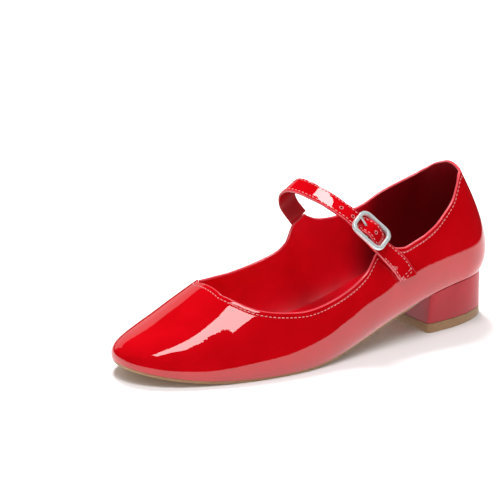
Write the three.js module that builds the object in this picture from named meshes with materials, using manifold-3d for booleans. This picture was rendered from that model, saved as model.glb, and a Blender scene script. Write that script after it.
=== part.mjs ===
// Mary jane pump, left shoe, low block heel. Millimetres, +Z up, toe towards -Y, lateral side towards +X.
import * as THREE from "three";
import { mergeVertices } from "three/addons/utils/BufferGeometryUtils.js";
import Module from "manifold-3d";

const wasm = await Module();
wasm.setup();

// Driving sizes
const SHOE_LENGTH = 246;
const BALL_WIDTH = 86;
const INSTEP_HEIGHT = 90;
const SEAT_HEIGHT = 31.3;
const COUNTER_HEIGHT = 60;
const WALL = 1.8;
const GAP = 0.3;
const SOLE_THICKNESS = 1.5;
const SEAT_SOLE_THICKNESS = 1.2;
const INSOLE_THICKNESS = 4.6;
const TOP_LIFT_THICKNESS = 5.6;
const STRAP_WIDTH = 11.5;
const STRAP_THICKNESS = 1.6;
const TAB_WIDTH = 11.5;
const BUCKLE_LENGTH = 22.4;
const BUCKLE_WIDTH = 18.6;
const BUCKLE_BAR = 2.4;
const BUCKLE_CORNER = 4.4;
const CENTRE_BAR = 1.6;
const PRONG_BAR = 1.2;
const HOLE_RADIUS = 0.9;
const HOLE_SPACING = 7.8;

// Sections of the last. at: share of the length from the heel. half, centre, ridgeX, tuck and sideTuck: shares of the
// ball width, for the half width at its fullest, its offset, the ridge's offset and how far the edge is drawn in at the
// feather line, evenly and more on one side. ridge: share of the instep height. round and flat: the section's powers.
const SECTIONS = [
  { at: 0.000, half: 0.330, centre: -0.006, ridge: 0.845, ridgeX: 0.000, tuck: 0.045, sideTuck: 0.000, round: 1.350, flat: 1.950 },
  { at: 0.120, half: 0.351, centre: -0.006, ridge: 0.890, ridgeX: 0.000, tuck: 0.049, sideTuck: 0.000, round: 1.350, flat: 1.950 },
  { at: 0.250, half: 0.377, centre: 0.006, ridge: 0.980, ridgeX: 0.000, tuck: 0.065, sideTuck: -0.009, round: 1.350, flat: 1.950 },
  { at: 0.370, half: 0.400, centre: 0.017, ridge: 0.990, ridgeX: -0.012, tuck: 0.086, sideTuck: -0.021, round: 1.400, flat: 1.950 },
  { at: 0.480, half: 0.434, centre: 0.023, ridge: 0.865, ridgeX: -0.023, tuck: 0.073, sideTuck: -0.021, round: 1.550, flat: 2.000 },
  { at: 0.580, half: 0.480, centre: 0.012, ridge: 0.710, ridgeX: -0.029, tuck: 0.044, sideTuck: -0.009, round: 1.700, flat: 2.050 },
  { at: 0.680, half: 0.500, centre: -0.012, ridge: 0.585, ridgeX: -0.041, tuck: 0.028, sideTuck: 0.000, round: 1.800, flat: 2.050 },
  { at: 0.760, half: 0.479, centre: -0.028, ridge: 0.470, ridgeX: -0.052, tuck: 0.024, sideTuck: 0.000, round: 1.900, flat: 2.100 },
  { at: 0.840, half: 0.444, centre: -0.042, ridge: 0.345, ridgeX: -0.064, tuck: 0.023, sideTuck: 0.000, round: 2.000, flat: 2.200 },
  { at: 0.920, half: 0.407, centre: -0.053, ridge: 0.255, ridgeX: -0.070, tuck: 0.021, sideTuck: 0.000, round: 2.100, flat: 2.300 },
  { at: 1.000, half: 0.372, centre: -0.063, ridge: 0.200, ridgeX: -0.076, tuck: 0.021, sideTuck: 0.000, round: 2.200, flat: 2.300 },
];
// Height of the feather line along the shoe, as a share of the seat height
const FEATHER = [
  { at: 0.000, height: 1.000 },
  { at: 0.100, height: 0.940 },
  { at: 0.220, height: 0.805 },
  { at: 0.330, height: 0.565 },
  { at: 0.450, height: 0.270 },
  { at: 0.560, height: 0.096 },
  { at: 0.660, height: 0.054 },
  { at: 0.760, height: 0.061 },
  { at: 0.860, height: 0.115 },
  { at: 0.940, height: 0.214 },
  { at: 1.000, height: 0.320 },
];
// Height of the topline over the feather line on each side, as shares of the counter height; the humps are the ears
const TOPLINE_LATERAL = [
  { at: 0.000, height: 1.01 },
  { at: 0.100, height: 1.01 },
  { at: 0.121, height: 1.005 },
  { at: 0.140, height: 0.905 },
  { at: 0.156, height: 0.813 },
  { at: 0.188, height: 0.720 },
  { at: 0.223, height: 0.648 },
  { at: 0.265, height: 0.618 },
  { at: 0.304, height: 0.616 },
  { at: 0.326, height: 0.642 },
  { at: 0.343, height: 0.682 },
  { at: 0.351, height: 0.712 },
  { at: 0.362, height: 0.720 },
  { at: 0.387, height: 0.720 },
  { at: 0.396, height: 0.705 },
  { at: 0.403, height: 0.677 },
  { at: 0.426, height: 0.607 },
  { at: 0.465, height: 0.560 },
  { at: 0.520, height: 0.533 },
  { at: 0.594, height: 0.519 },
  { at: 0.659, height: 0.544 },
  { at: 0.704, height: 0.577 },
  { at: 0.732, height: 0.619 },
  { at: 0.745, height: 0.648 },
  { at: 0.755, height: 0.669 },
  { at: 0.7645, height: 0.690 },
];
const TOPLINE_MEDIAL = [
  { at: 0.000, height: 0.990 },
  { at: 0.098, height: 0.985 },
  { at: 0.114, height: 0.928 },
  { at: 0.136, height: 0.890 },
  { at: 0.169, height: 0.857 },
  { at: 0.229, height: 0.812 },
  { at: 0.284, height: 0.757 },
  { at: 0.349, height: 0.781 },
  { at: 0.391, height: 0.838 },
  { at: 0.410, height: 0.877 },
  { at: 0.439, height: 0.965 },
  { at: 0.4505, height: 1.003 },
  { at: 0.477, height: 0.945 },
  { at: 0.483, height: 0.770 },
  { at: 0.504, height: 0.698 },
  { at: 0.552, height: 0.657 },
  { at: 0.600, height: 0.627 },
  { at: 0.640, height: 0.609 },
  { at: 0.677, height: 0.609 },
  { at: 0.705, height: 0.617 },
  { at: 0.721, height: 0.632 },
  { at: 0.741, height: 0.678 },
  { at: 0.755, height: 0.692 },
  { at: 0.7645, height: 0.694 },
];
// Toe cap, heel back and edge roll, as shares of the shoe length and the counter height
const TOE = { start: 0.748, power: 2.7, tuck: 0.008 };
const BACK = { start: 0.134, power: 2.15, tuck: 0.025, lean: 0.055, leanPower: 2.2, leanHeight: 0.93 };
const EDGE_ROLL = 0.033;
// The topline's rise over the back seam, as shares of the counter height and the ball width
const BACK_PEAK = { rise: 0.05, width: 0.116 };
// Spine points from which the toe and heel sections fan out, and the stations round the shoe
const FAN_HEEL = 0.126;
const EAR_CORNERS = [0.351, 0.396, 0.403, 0.4505, 0.477, 0.483];
const UPPER_FAN = { heelSteps: 15, sideSteps: 52, toeSteps: 18, toeAt: 0.61, corners: EAR_CORNERS };
const SHEET_FAN = { heelSteps: 9, sideSteps: 30, toeSteps: 11, toeAt: 0.82, corners: [] };
const UPPER_ROWS = 8;
const ROW_EASE = 1.5;
const SIDE_BLEND = 8;
const LIMIT_OVERRUN = 4;
const LOWEST_ELEVATION = 0.02;
const HIGHEST_ELEVATION = 1.5;
const SEARCH_STEPS = 30;
const TOPLINE_SEARCH_STEPS = 22;

// Small maths
function naturalSpline(points) {
  const xs = points.map((p) => p[0]);
  const ys = points.map((p) => p[1]);
  const count = xs.length;
  const bend = new Array(count).fill(0);
  const work = new Array(count).fill(0);
  for (let i = 1; i < count - 1; i++) {
    const share = (xs[i] - xs[i - 1]) / (xs[i + 1] - xs[i - 1]);
    const pivot = share * bend[i - 1] + 2;
    const rise = (ys[i + 1] - ys[i]) / (xs[i + 1] - xs[i]) - (ys[i] - ys[i - 1]) / (xs[i] - xs[i - 1]);
    bend[i] = (share - 1) / pivot;
    work[i] = ((6 * rise) / (xs[i + 1] - xs[i - 1]) - share * work[i - 1]) / pivot;
  }
  for (let i = count - 2; i >= 0; i--) {
    bend[i] = bend[i] * bend[i + 1] + work[i];
  }
  return (x) => {
    let i = 0;
    while (i < count - 2 && x > xs[i + 1]) {
      i++;
    }
    const width = xs[i + 1] - xs[i];
    const a = (xs[i + 1] - x) / width;
    const b = (x - xs[i]) / width;
    return a * ys[i] + b * ys[i + 1] + (((a ** 3 - a) * bend[i] + (b ** 3 - b) * bend[i + 1]) * width * width) / 6;
  };
}

function steadySpline(points) {
  const xs = points.map((p) => p[0]);
  const ys = points.map((p) => p[1]);
  const count = xs.length;
  const slope = xs.slice(1).map((x, i) => (ys[i + 1] - ys[i]) / (x - xs[i]));
  const tangent = xs.map((x, i) => {
    if (i === 0 || i === count - 1) {
      return slope[Math.min(i, count - 2)];
    }
    const before = slope[i - 1];
    const after = slope[i];
    return before * after <= 0 ? 0 : (2 * before * after) / (before + after);
  });
  return (x) => {
    const at = THREE.MathUtils.clamp(x, xs[0], xs[count - 1]);
    let i = 0;
    while (i < count - 2 && at > xs[i + 1]) {
      i++;
    }
    const width = xs[i + 1] - xs[i];
    const t = (at - xs[i]) / width;
    const t2 = t * t;
    const t3 = t2 * t;
    return (2 * t3 - 3 * t2 + 1) * ys[i] + (t3 - 2 * t2 + t) * width * tangent[i]
      + (3 * t2 - 2 * t3) * ys[i + 1] + (t3 - t2) * width * tangent[i + 1];
  };
}

const clamp = THREE.MathUtils.clamp;
const lerp = THREE.MathUtils.lerp;
const along = (rows, key, scale) => rows.map((row) => [row.at * SHOE_LENGTH, row[key] * scale]);

const half = naturalSpline(along(SECTIONS, "half", BALL_WIDTH));
const centre = naturalSpline(along(SECTIONS, "centre", BALL_WIDTH));
const ridge = naturalSpline(along(SECTIONS, "ridge", INSTEP_HEIGHT));
const ridgeX = naturalSpline(along(SECTIONS, "ridgeX", BALL_WIDTH));
const tuck = naturalSpline(along(SECTIONS, "tuck", BALL_WIDTH));
const sideTuck = naturalSpline(along(SECTIONS, "sideTuck", BALL_WIDTH));
const roundPower = naturalSpline(along(SECTIONS, "round", 1));
const flatPower = naturalSpline(along(SECTIONS, "flat", 1));
const featherHeight = naturalSpline(along(FEATHER, "height", SEAT_HEIGHT));
const toplineLateral = steadySpline(along(TOPLINE_LATERAL, "height", COUNTER_HEIGHT));
const toplineMedial = steadySpline(along(TOPLINE_MEDIAL, "height", COUNTER_HEIGHT));
const THROAT_END = TOPLINE_LATERAL[TOPLINE_LATERAL.length - 1].at * SHOE_LENGTH;

// The last as an implicit body: 1 on its surface, less inside. s runs from the heel, h is height over the feather line.
function last(x, s, h) {
  const sc = clamp(s, 0, SHOE_LENGTH);
  const up = Math.max(h, 0);
  const edge = Math.exp(-h / (EDGE_ROLL * SHOE_LENGTH));
  const top = ridge(sc);
  const middle = lerp(centre(sc), ridgeX(sc), clamp(h / top, 0, 1));
  const dx = x - middle;
  const width = half(sc) - (tuck(sc) + Math.sign(dx) * sideTuck(sc)) * edge;
  const body = (Math.abs(dx) / width) ** flatPower(sc) + (up / top) ** roundPower(sc);
  const tip = SHOE_LENGTH * (1 - TOE.tuck * edge);
  const toeStart = SHOE_LENGTH * TOE.start;
  const toe = Math.max((s - toeStart) / (tip - toeStart), 0) ** TOE.power;
  const lean = BACK.lean * (up / (BACK.leanHeight * COUNTER_HEIGHT)) ** BACK.leanPower;
  const rear = SHOE_LENGTH * (BACK.tuck * edge + lean);
  const heelStart = SHOE_LENGTH * BACK.start;
  const back = Math.max((heelStart - s) / (heelStart - rear), 0) ** BACK.power;
  return body + toe + back;
}

// A station is a plan direction from a spine point; an elevation along it meets the last once
function meet(station, elevation) {
  const start = centre(station.s);
  const flat = Math.cos(elevation);
  const rise = Math.sin(elevation);
  const point = (r) => [start + station.dx * flat * r, station.s + station.ds * flat * r, rise * r];
  let near = 0;
  let far = SHOE_LENGTH;
  for (let i = 0; i < SEARCH_STEPS; i++) {
    const middle = (near + far) / 2;
    const [x, s, h] = point(middle);
    const inside = s > -LIMIT_OVERRUN && s < SHOE_LENGTH + LIMIT_OVERRUN && last(x, s, h) < 1;
    near = inside ? middle : near;
    far = inside ? far : middle;
  }
  return point(near);
}

function normalAt([x, s, h]) {
  const d = 0.01;
  const gx = last(x + d, s, h) - last(x - d, s, h);
  const gs = last(x, s + d, h) - last(x, s - d, h);
  const low = Math.max(h - d, 0);
  const up = ((last(x, s, h + d) - last(x, s, low)) * 2 * d) / (h + d - low);
  const slope = (featherHeight(s + d) - featherHeight(s - d)) / (2 * d);
  return new THREE.Vector3(gx, -(gs - up * slope), up).normalize();
}

const world = (x, s, h) => new THREE.Vector3(x, SHOE_LENGTH / 2 - s, featherHeight(clamp(s, 0, SHOE_LENGTH)) + h);

// Stations round the whole shoe, from the back of the heel along the lateral side to the toe and back
function stationsAround({ heelSteps, sideSteps, toeSteps, toeAt, corners }) {
  const heel = FAN_HEEL * SHOE_LENGTH;
  const toe = toeAt * SHOE_LENGTH;
  const step = (toe - heel) / sideSteps;
  const cornerPlaces = corners.map((at) => at * SHOE_LENGTH);
  const evenPlaces = Array.from({ length: sideSteps }, (_, i) => heel + i * step);
  const clear = evenPlaces.filter((s) => cornerPlaces.every((c) => Math.abs(c - s) > step / 3));
  const sidePlaces = [...clear, ...cornerPlaces].sort((a, b) => a - b);
  const lateral = [];
  for (let i = 0; i < heelSteps; i++) {
    const turn = ((Math.PI / 2) * i) / heelSteps;
    lateral.push({ s: heel, dx: Math.sin(turn), ds: -Math.cos(turn) });
  }
  sidePlaces.forEach((s) => lateral.push({ s, dx: 1, ds: 0 }));
  for (let i = 0; i <= toeSteps; i++) {
    const turn = ((Math.PI / 2) * i) / toeSteps;
    lateral.push({ s: toe, dx: Math.cos(turn), ds: Math.sin(turn) });
  }
  const medial = lateral.slice(1, -1).reverse().map((st) => ({ s: st.s, dx: -st.dx, ds: st.ds }));
  return [...lateral, ...medial];
}

function toplineElevation(station) {
  let low = LOWEST_ELEVATION;
  let high = HIGHEST_ELEVATION;
  for (let i = 0; i < TOPLINE_SEARCH_STEPS; i++) {
    const middle = (low + high) / 2;
    const [x, s, h] = meet(station, middle);
    const off = x - centre(clamp(s, 0, SHOE_LENGTH));
    const side = clamp(off / SIDE_BLEND, -1, 1) / 2 + 0.5;
    const peak = s < SHOE_LENGTH / 2 ? Math.exp(-((off / (BACK_PEAK.width * BALL_WIDTH)) ** 2)) : 0;
    const cut = lerp(toplineMedial(s), toplineLateral(s), side) + BACK_PEAK.rise * COUNTER_HEIGHT * peak;
    const below = s > THROAT_END || h < cut;
    low = below ? middle : low;
    high = below ? high : middle;
  }
  return low;
}

// Solids from grids of points
class SolidBuilder {
  constructor() {
    this.points = [];
    this.faces = [];
  }
  add(v) {
    this.points.push(v.x, v.y, v.z);
    return this.points.length / 3 - 1;
  }
  ring(vectors) {
    return vectors.map((v) => this.add(v));
  }
  // Joins two rings that run anticlockwise seen from outside, the second one above the first
  band(lower, upper, closed = true) {
    const count = lower.length;
    const end = closed ? count : count - 1;
    for (let i = 0; i < end; i++) {
      const j = (i + 1) % count;
      this.faces.push(lower[i], lower[j], upper[j], lower[i], upper[j], upper[i]);
    }
  }
  fan(hub, rim) {
    rim.forEach((corner, i) => this.faces.push(corner, rim[(i + 1) % rim.length], hub));
  }
  geometry() {
    const g = new THREE.BufferGeometry();
    g.setAttribute("position", new THREE.BufferAttribute(new Float32Array(this.points), 3));
    g.setIndex(this.faces);
    return closeUp(g);
  }
}

// Welds the points, drops triangles without area and turns the solid right side out
function closeUp(geometry) {
  const plain = geometry.clone();
  plain.deleteAttribute("normal");
  plain.deleteAttribute("uv");
  const welded = mergeVertices(plain, 1e-3);
  const index = welded.index.array;
  const kept = [];
  for (let i = 0; i < index.length; i += 3) {
    const [a, b, c] = [index[i], index[i + 1], index[i + 2]];
    if (a !== b && b !== c && c !== a) {
      kept.push(a, b, c);
    }
  }
  const p = welded.attributes.position;
  let volume = 0;
  const va = new THREE.Vector3();
  const vb = new THREE.Vector3();
  const vc = new THREE.Vector3();
  for (let i = 0; i < kept.length; i += 3) {
    va.fromBufferAttribute(p, kept[i]);
    vb.fromBufferAttribute(p, kept[i + 1]);
    vc.fromBufferAttribute(p, kept[i + 2]);
    volume += va.dot(vb.cross(vc));
  }
  if (volume < 0) {
    for (let i = 0; i < kept.length; i += 3) {
      [kept[i + 1], kept[i + 2]] = [kept[i + 2], kept[i + 1]];
    }
  }
  welded.setIndex(kept);
  welded.computeVertexNormals();
  return welded;
}

function toManifold(geometry) {
  const g = closeUp(geometry);
  const mesh = new wasm.Mesh({
    numProp: 3,
    vertProperties: new Float32Array(g.attributes.position.array),
    triVerts: new Uint32Array(g.index.array),
  });
  mesh.merge();
  return new wasm.Manifold(mesh);
}

function fromManifold(solid) {
  const mesh = solid.getMesh();
  const g = new THREE.BufferGeometry();
  g.setAttribute("position", new THREE.BufferAttribute(new Float32Array(mesh.vertProperties), 3));
  g.setIndex(Array.from(mesh.triVerts));
  return closeUp(g);
}

// Upper: outer skin over the last, inner skin a wall's thickness inside it
const stations = stationsAround(UPPER_FAN);

function upperGeometry() {
  const build = new SolidBuilder();
  const elevations = stations.map(toplineElevation);
  const outer = [];
  const inner = [];
  for (let row = 0; row <= UPPER_ROWS; row++) {
    const share = (row / UPPER_ROWS) ** ROW_EASE;
    const outside = [];
    const inside = [];
    stations.forEach((station, i) => {
      const [x, s, h] = meet(station, elevations[i] * share);
      const p = world(x, s, h);
      const n = normalAt([x, s, h]);
      if (row === 0) {
        n.z = 0;
        n.normalize();
      }
      outside.push(p);
      inside.push(p.clone().addScaledVector(n, -WALL));
    });
    outer.push(build.ring(outside));
    inner.push(build.ring(inside));
  }
  for (let row = 0; row < UPPER_ROWS; row++) {
    build.band(outer[row], outer[row + 1]);
    build.band(inner[row + 1], inner[row]);
  }
  build.band(outer[UPPER_ROWS], inner[UPPER_ROWS]);
  build.band(inner[0], outer[0]);
  return build.geometry();
}

// Flat pieces follow the feather outline, drawn in by an inset that may change along the shoe
function insetOutline(list, insetAt) {
  return list.map((station) => {
    const [x, s] = meet(station, 0);
    const n = normalAt([x, s, 0]);
    const flat = new THREE.Vector2(n.x, n.y).normalize();
    const inset = insetAt(s);
    return { x: x - flat.x * inset, s: s + flat.y * inset, spineX: centre(station.s), spineS: station.s };
  });
}

// Closed sheet between two heights given along the shoe
function sheet(outline, topAt, bottomAt, shares) {
  const build = new SolidBuilder();
  const ringAt = (share, heightAt) => build.ring(outline.map((o) => {
    const x = lerp(o.spineX, o.x, share);
    const s = lerp(o.spineS, o.s, share);
    return new THREE.Vector3(x, SHOE_LENGTH / 2 - s, heightAt(s, x, share));
  }));
  const top = shares.map((share) => ringAt(share, topAt));
  const bottom = shares.map((share) => ringAt(share, bottomAt));
  build.band(bottom[0], top[0]);
  for (let i = 0; i + 1 < shares.length; i++) {
    build.band(top[i], top[i + 1]);
    build.band(bottom[i + 1], bottom[i]);
  }
  return build;
}

const SHEET_SHARES = [1, 0.5, 0];
const sheetStations = stationsAround(SHEET_FAN);

const INSOLE_CLEARANCE = WALL + 2 * GAP;
const INSOLE_CROWN = 0.35;
function insoleGeometry() {
  const outline = insetOutline(sheetStations, () => INSOLE_CLEARANCE);
  const bottomAt = (s) => featherHeight(s);
  const topAt = (s, x, share) => featherHeight(s) + INSOLE_THICKNESS - (share === 1 ? INSOLE_CROWN : 0);
  return sheet(outline, topAt, bottomAt, SHEET_SHARES).geometry();
}

// Outsole: set in a little at the forepart, tucked well in under the heel seat where the block hides it
const SOLE_INSET = { seat: 5, forepart: 0.8, seatEnd: 0.19, forepartStart: 0.30 };
function soleInset(s) {
  const t = clamp((s / SHOE_LENGTH - SOLE_INSET.seatEnd) / (SOLE_INSET.forepartStart - SOLE_INSET.seatEnd), 0, 1);
  return lerp(SOLE_INSET.seat, SOLE_INSET.forepart, t * t * (3 - 2 * t));
}
function soleThickness(s) {
  const t = clamp((s / SHOE_LENGTH - SOLE_INSET.seatEnd) / (SOLE_INSET.forepartStart - SOLE_INSET.seatEnd), 0, 1);
  return lerp(SEAT_SOLE_THICKNESS, SOLE_THICKNESS, t);
}
function outsoleGeometry(clearance) {
  const outline = insetOutline(sheetStations, (s) => soleInset(s) - clearance);
  const topAt = (s) => featherHeight(s) - GAP + clearance;
  const bottomAt = (s) => Math.max(featherHeight(s) - GAP - soleThickness(s), 0) - clearance;
  return sheet(outline, topAt, bottomAt, SHEET_SHARES).geometry();
}

// Heel block: half width as a share of the ball width, breast and back as shares of the length
const HEEL = {
  floorHalf: 0.283,
  centre: -0.004,
  breastFloor: 0.228,
  breastTop: 0.2295,
  backFloor: 0.017,
  backTop: 0.0265,
};
const HEEL_EDGE_INSET = 0.8;
const HEEL_WAIST = 0.46;
const HEEL_OUTLINE = [
  { at: 0.2280, half: 0.925 },
  { at: 0.2265, half: 0.975 },
  { at: 0.2210, half: 1.00 },
  { at: 0.1700, half: 0.975 },
  { at: 0.1250, half: 0.90 },
  { at: 0.0850, half: 0.77 },
  { at: 0.0520, half: 0.59 },
  { at: 0.0280, half: 0.36 },
  { at: 0.0185, half: 0.17 },
];

function heelRing() {
  const lateral = HEEL_OUTLINE.map((row) => ({ at: row.at, side: 1, half: row.half }));
  const back = { at: HEEL.backFloor, side: 1, half: 0 };
  const medial = HEEL_OUTLINE.map((row) => ({ at: row.at, side: -1, half: row.half })).reverse();
  return [...lateral, back, ...medial];
}

function heelFloorPoint(row, z) {
  const x = (HEEL.centre + row.side * row.half * HEEL.floorHalf) * BALL_WIDTH;
  return new THREE.Vector3(x, SHOE_LENGTH * (0.5 - row.at), z);
}

function heelTopPoint(row) {
  const share = (row.at - HEEL.backFloor) / (HEEL.breastFloor - HEEL.backFloor);
  const s = lerp(HEEL.backTop, HEEL.breastTop, share) * SHOE_LENGTH;
  const middle = centre(s);
  const [edge] = meet({ s, dx: row.side, ds: 0 }, 0);
  const cornered = row.at > HEEL_OUTLINE[2].at ? row.half : 1;
  const reach = row.half === 0 ? 0 : (Math.abs(edge - middle) - HEEL_EDGE_INSET) * cornered;
  return new THREE.Vector3(middle + row.side * reach, SHOE_LENGTH / 2 - s, featherHeight(s) - GAP);
}

function heelBlockGeometry() {
  const build = new SolidBuilder();
  const rows = heelRing();
  const base = TOP_LIFT_THICKNESS + GAP;
  const floor = rows.map((row) => heelFloorPoint(row, base));
  const top = rows.map(heelTopPoint);
  const waist = floor.map((p, i) => {
    const q = p.clone().lerp(top[i], HEEL_WAIST);
    q.z = (base + top[i].z) / 2;
    return q;
  });
  const hubS = FAN_HEEL * SHOE_LENGTH;
  const hub = new THREE.Vector3(centre(hubS), SHOE_LENGTH / 2 - hubS, featherHeight(hubS) - GAP);
  const shrink = (share) => top.map((p) => {
    const q = hub.clone().lerp(p, share);
    q.z = featherHeight(SHOE_LENGTH / 2 - q.y) - GAP;
    return q;
  });
  const rings = [floor, waist, top, shrink(0.66), shrink(0.33)].map((points) => build.ring(points));
  for (let i = 0; i + 1 < rings.length; i++) {
    build.band(rings[i], rings[i + 1]);
  }
  build.fan(build.add(hub), rings[rings.length - 1]);
  build.fan(build.add(new THREE.Vector3(hub.x, hub.y, base)), [...rings[0]].reverse());
  const block = toManifold(build.geometry());
  const pocket = toManifold(outsoleGeometry(GAP));
  return fromManifold(block.subtract(pocket));
}

function topLiftGeometry() {
  const build = new SolidBuilder();
  const rows = heelRing();
  const low = build.ring(rows.map((row) => heelFloorPoint(row, 0)));
  const high = build.ring(rows.map((row) => heelFloorPoint(row, TOP_LIFT_THICKNESS)));
  const hubY = SHOE_LENGTH * (0.5 - FAN_HEEL);
  build.band(low, high);
  build.fan(build.add(new THREE.Vector3(0, hubY, TOP_LIFT_THICKNESS)), high);
  build.fan(build.add(new THREE.Vector3(0, hubY, 0)), [...low].reverse());
  return build.geometry();
}

// Surface point on one side at a place along the shoe and a height over the feather line
function sidePoint(side, s, h) {
  const middle = lerp(centre(s), ridgeX(s), clamp(h / ridge(s), 0, 1));
  let near = 0;
  let far = BALL_WIDTH;
  for (let i = 0; i < SEARCH_STEPS; i++) {
    const reach = (near + far) / 2;
    const inside = last(middle + side * reach, s, h) < 1;
    near = inside ? reach : near;
    far = inside ? far : reach;
  }
  const x = middle + side * near;
  return { point: world(x, s, h), normal: normalAt([x, s, h]) };
}

// Fastening: the tab's centre line up the lateral quarter, then the buckle's place and directions over its top
const TAB_PATH = [
  { at: 0.3155, up: 0.343 },
  { at: 0.3262, up: 0.422 },
  { at: 0.3365, up: 0.500 },
];
const TAB_SLANT = 0.41;
const TAB_LIFT_OFF = 0.5;
const BUCKLE_REACH = { down: 25.3, across: 6.0, out: 11.2 };
const buckleDown = new THREE.Vector3(0.52, 0.53, -0.64).normalize();
const buckleAcross = new THREE.Vector3(0.43, -0.84, -0.3);
buckleAcross.addScaledVector(buckleDown, -buckleAcross.dot(buckleDown)).normalize();
const buckleOut = new THREE.Vector3().crossVectors(buckleAcross, buckleDown);
const tabTopRow = TAB_PATH[TAB_PATH.length - 1];
const tabTop = sidePoint(1, tabTopRow.at * SHOE_LENGTH, tabTopRow.up * COUNTER_HEIGHT);
const buckleCentre = tabTop.point.clone()
  .addScaledVector(buckleDown, -BUCKLE_REACH.down)
  .addScaledVector(buckleAcross, BUCKLE_REACH.across)
  .addScaledVector(buckleOut, BUCKLE_REACH.out);
const onBuckle = (down, across, out) => buckleCentre.clone()
  .addScaledVector(buckleDown, down)
  .addScaledVector(buckleAcross, across)
  .addScaledVector(buckleOut, out);

// Heights out of the buckle's plane at which the strap and the tab pass its bars
const barHalf = BUCKLE_BAR / 2;
const endBarPlace = (BUCKLE_LENGTH - BUCKLE_BAR) / 2;
const sideBarPlace = (BUCKLE_WIDTH - BUCKLE_BAR) / 2;
const CENTRE_BAR_DROP = 1;
const STRAP_SLACK = 0.05;
const TAB_DROP = 0.5;
const strapUnderBar = -(barHalf + GAP + STRAP_THICKNESS / 2 + STRAP_SLACK);
const strapOverCentre = CENTRE_BAR / 2 - CENTRE_BAR_DROP + GAP + STRAP_THICKNESS / 2 + STRAP_SLACK;
const tabUnderStrap = strapUnderBar - STRAP_THICKNESS - GAP - TAB_DROP;
const tabUnderCentre = -CENTRE_BAR_DROP - CENTRE_BAR / 2 - GAP - STRAP_THICKNESS / 2;

const BAND_CHAMFER = 0.35;
const SLANT_REACH = 1.3;

// A flat band swept along a curve: stops hold a point and the band's width direction there. A slant cuts its start
// at an angle.
function bandAlong(stops, width, thickness, stepsPerStop, slant = 0) {
  const curve = new THREE.CatmullRomCurve3(stops.map((stop) => stop.point), false, "centripetal");
  const count = (stops.length - 1) * stepsPerStop;
  const frames = [];
  let length = 0;
  for (let i = 0; i <= count; i++) {
    const t = i / count;
    const point = curve.getPoint(t);
    const tangent = curve.getTangent(t);
    const place = t * (stops.length - 1);
    const index = Math.min(Math.floor(place), stops.length - 2);
    const across = stops[index].across.clone().lerp(stops[index + 1].across, place - index);
    across.addScaledVector(tangent, -across.dot(tangent)).normalize();
    const out = new THREE.Vector3().crossVectors(across, tangent).normalize();
    if (i > 0) {
      length += point.distanceTo(frames[i - 1].point);
    }
    frames.push({ point, tangent, across, out, length });
  }
  const chamfer = Math.min(BAND_CHAMFER, thickness / 4);
  const w = width / 2;
  const d = thickness / 2;
  const section = [
    [-w + chamfer, -d], [w - chamfer, -d], [w, -d + chamfer], [w, d - chamfer],
    [w - chamfer, d], [-w + chamfer, d], [-w, d - chamfer], [-w, -d + chamfer],
  ];
  const build = new SolidBuilder();
  const rings = frames.map((f) => {
    const lean = slant * Math.max(1 - f.length / (SLANT_REACH * width), 0);
    return build.ring(section.map(([across, out]) => f.point.clone()
      .addScaledVector(f.across, across)
      .addScaledVector(f.tangent, across * lean)
      .addScaledVector(f.out, out)));
  });
  for (let i = 0; i + 1 < rings.length; i++) {
    build.band(rings[i], rings[i + 1]);
  }
  build.fan(build.add(frames[0].point), [...rings[0]].reverse());
  build.fan(build.add(frames[frames.length - 1].point), rings[rings.length - 1]);
  return { geometry: build.geometry(), frames };
}

// A round bar swept along points, closed in a loop or with flat ends
function barAlong(points, radius, sides, loop, flatNormal) {
  const build = new SolidBuilder();
  const count = points.length;
  const rings = points.map((p, i) => {
    const before = points[loop ? (i + count - 1) % count : Math.max(i - 1, 0)];
    const after = points[loop ? (i + 1) % count : Math.min(i + 1, count - 1)];
    const tangent = after.clone().sub(before).normalize();
    const sideways = new THREE.Vector3().crossVectors(flatNormal, tangent).normalize();
    const upright = new THREE.Vector3().crossVectors(tangent, sideways);
    const ring = [];
    for (let k = 0; k < sides; k++) {
      const turn = ((k + 0.5) / sides) * Math.PI * 2;
      ring.push(p.clone()
        .addScaledVector(sideways, Math.cos(turn) * radius)
        .addScaledVector(upright, Math.sin(turn) * radius));
    }
    return build.ring(ring);
  });
  for (let i = 0; i + 1 < count; i++) {
    build.band(rings[i], rings[i + 1]);
  }
  if (loop) {
    build.band(rings[count - 1], rings[0]);
  } else {
    build.fan(build.add(points[0]), [...rings[0]].reverse());
    build.fan(build.add(points[count - 1]), rings[count - 1]);
  }
  return build.geometry();
}

// Prong: from in front of the centre bar, up through the strap, to rest on the far bar
const PRONG_PATH = [
  { down: -(CENTRE_BAR / 2 + GAP + PRONG_BAR / 2), out: -CENTRE_BAR_DROP },
  { down: -endBarPlace * 0.45, out: 0.25 },
  { down: -endBarPlace * 0.75, out: barHalf + 0.3 },
  { down: -endBarPlace, out: barHalf + GAP + PRONG_BAR / 2 },
  { down: -endBarPlace - 1, out: barHalf + GAP + PRONG_BAR / 2 - 0.1 },
];
function prongGeometry(clearance) {
  const points = PRONG_PATH.map((stop) => onBuckle(stop.down, 0, stop.out));
  return barAlong(points, PRONG_BAR / 2 + clearance, 8, false, buckleAcross);
}

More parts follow.
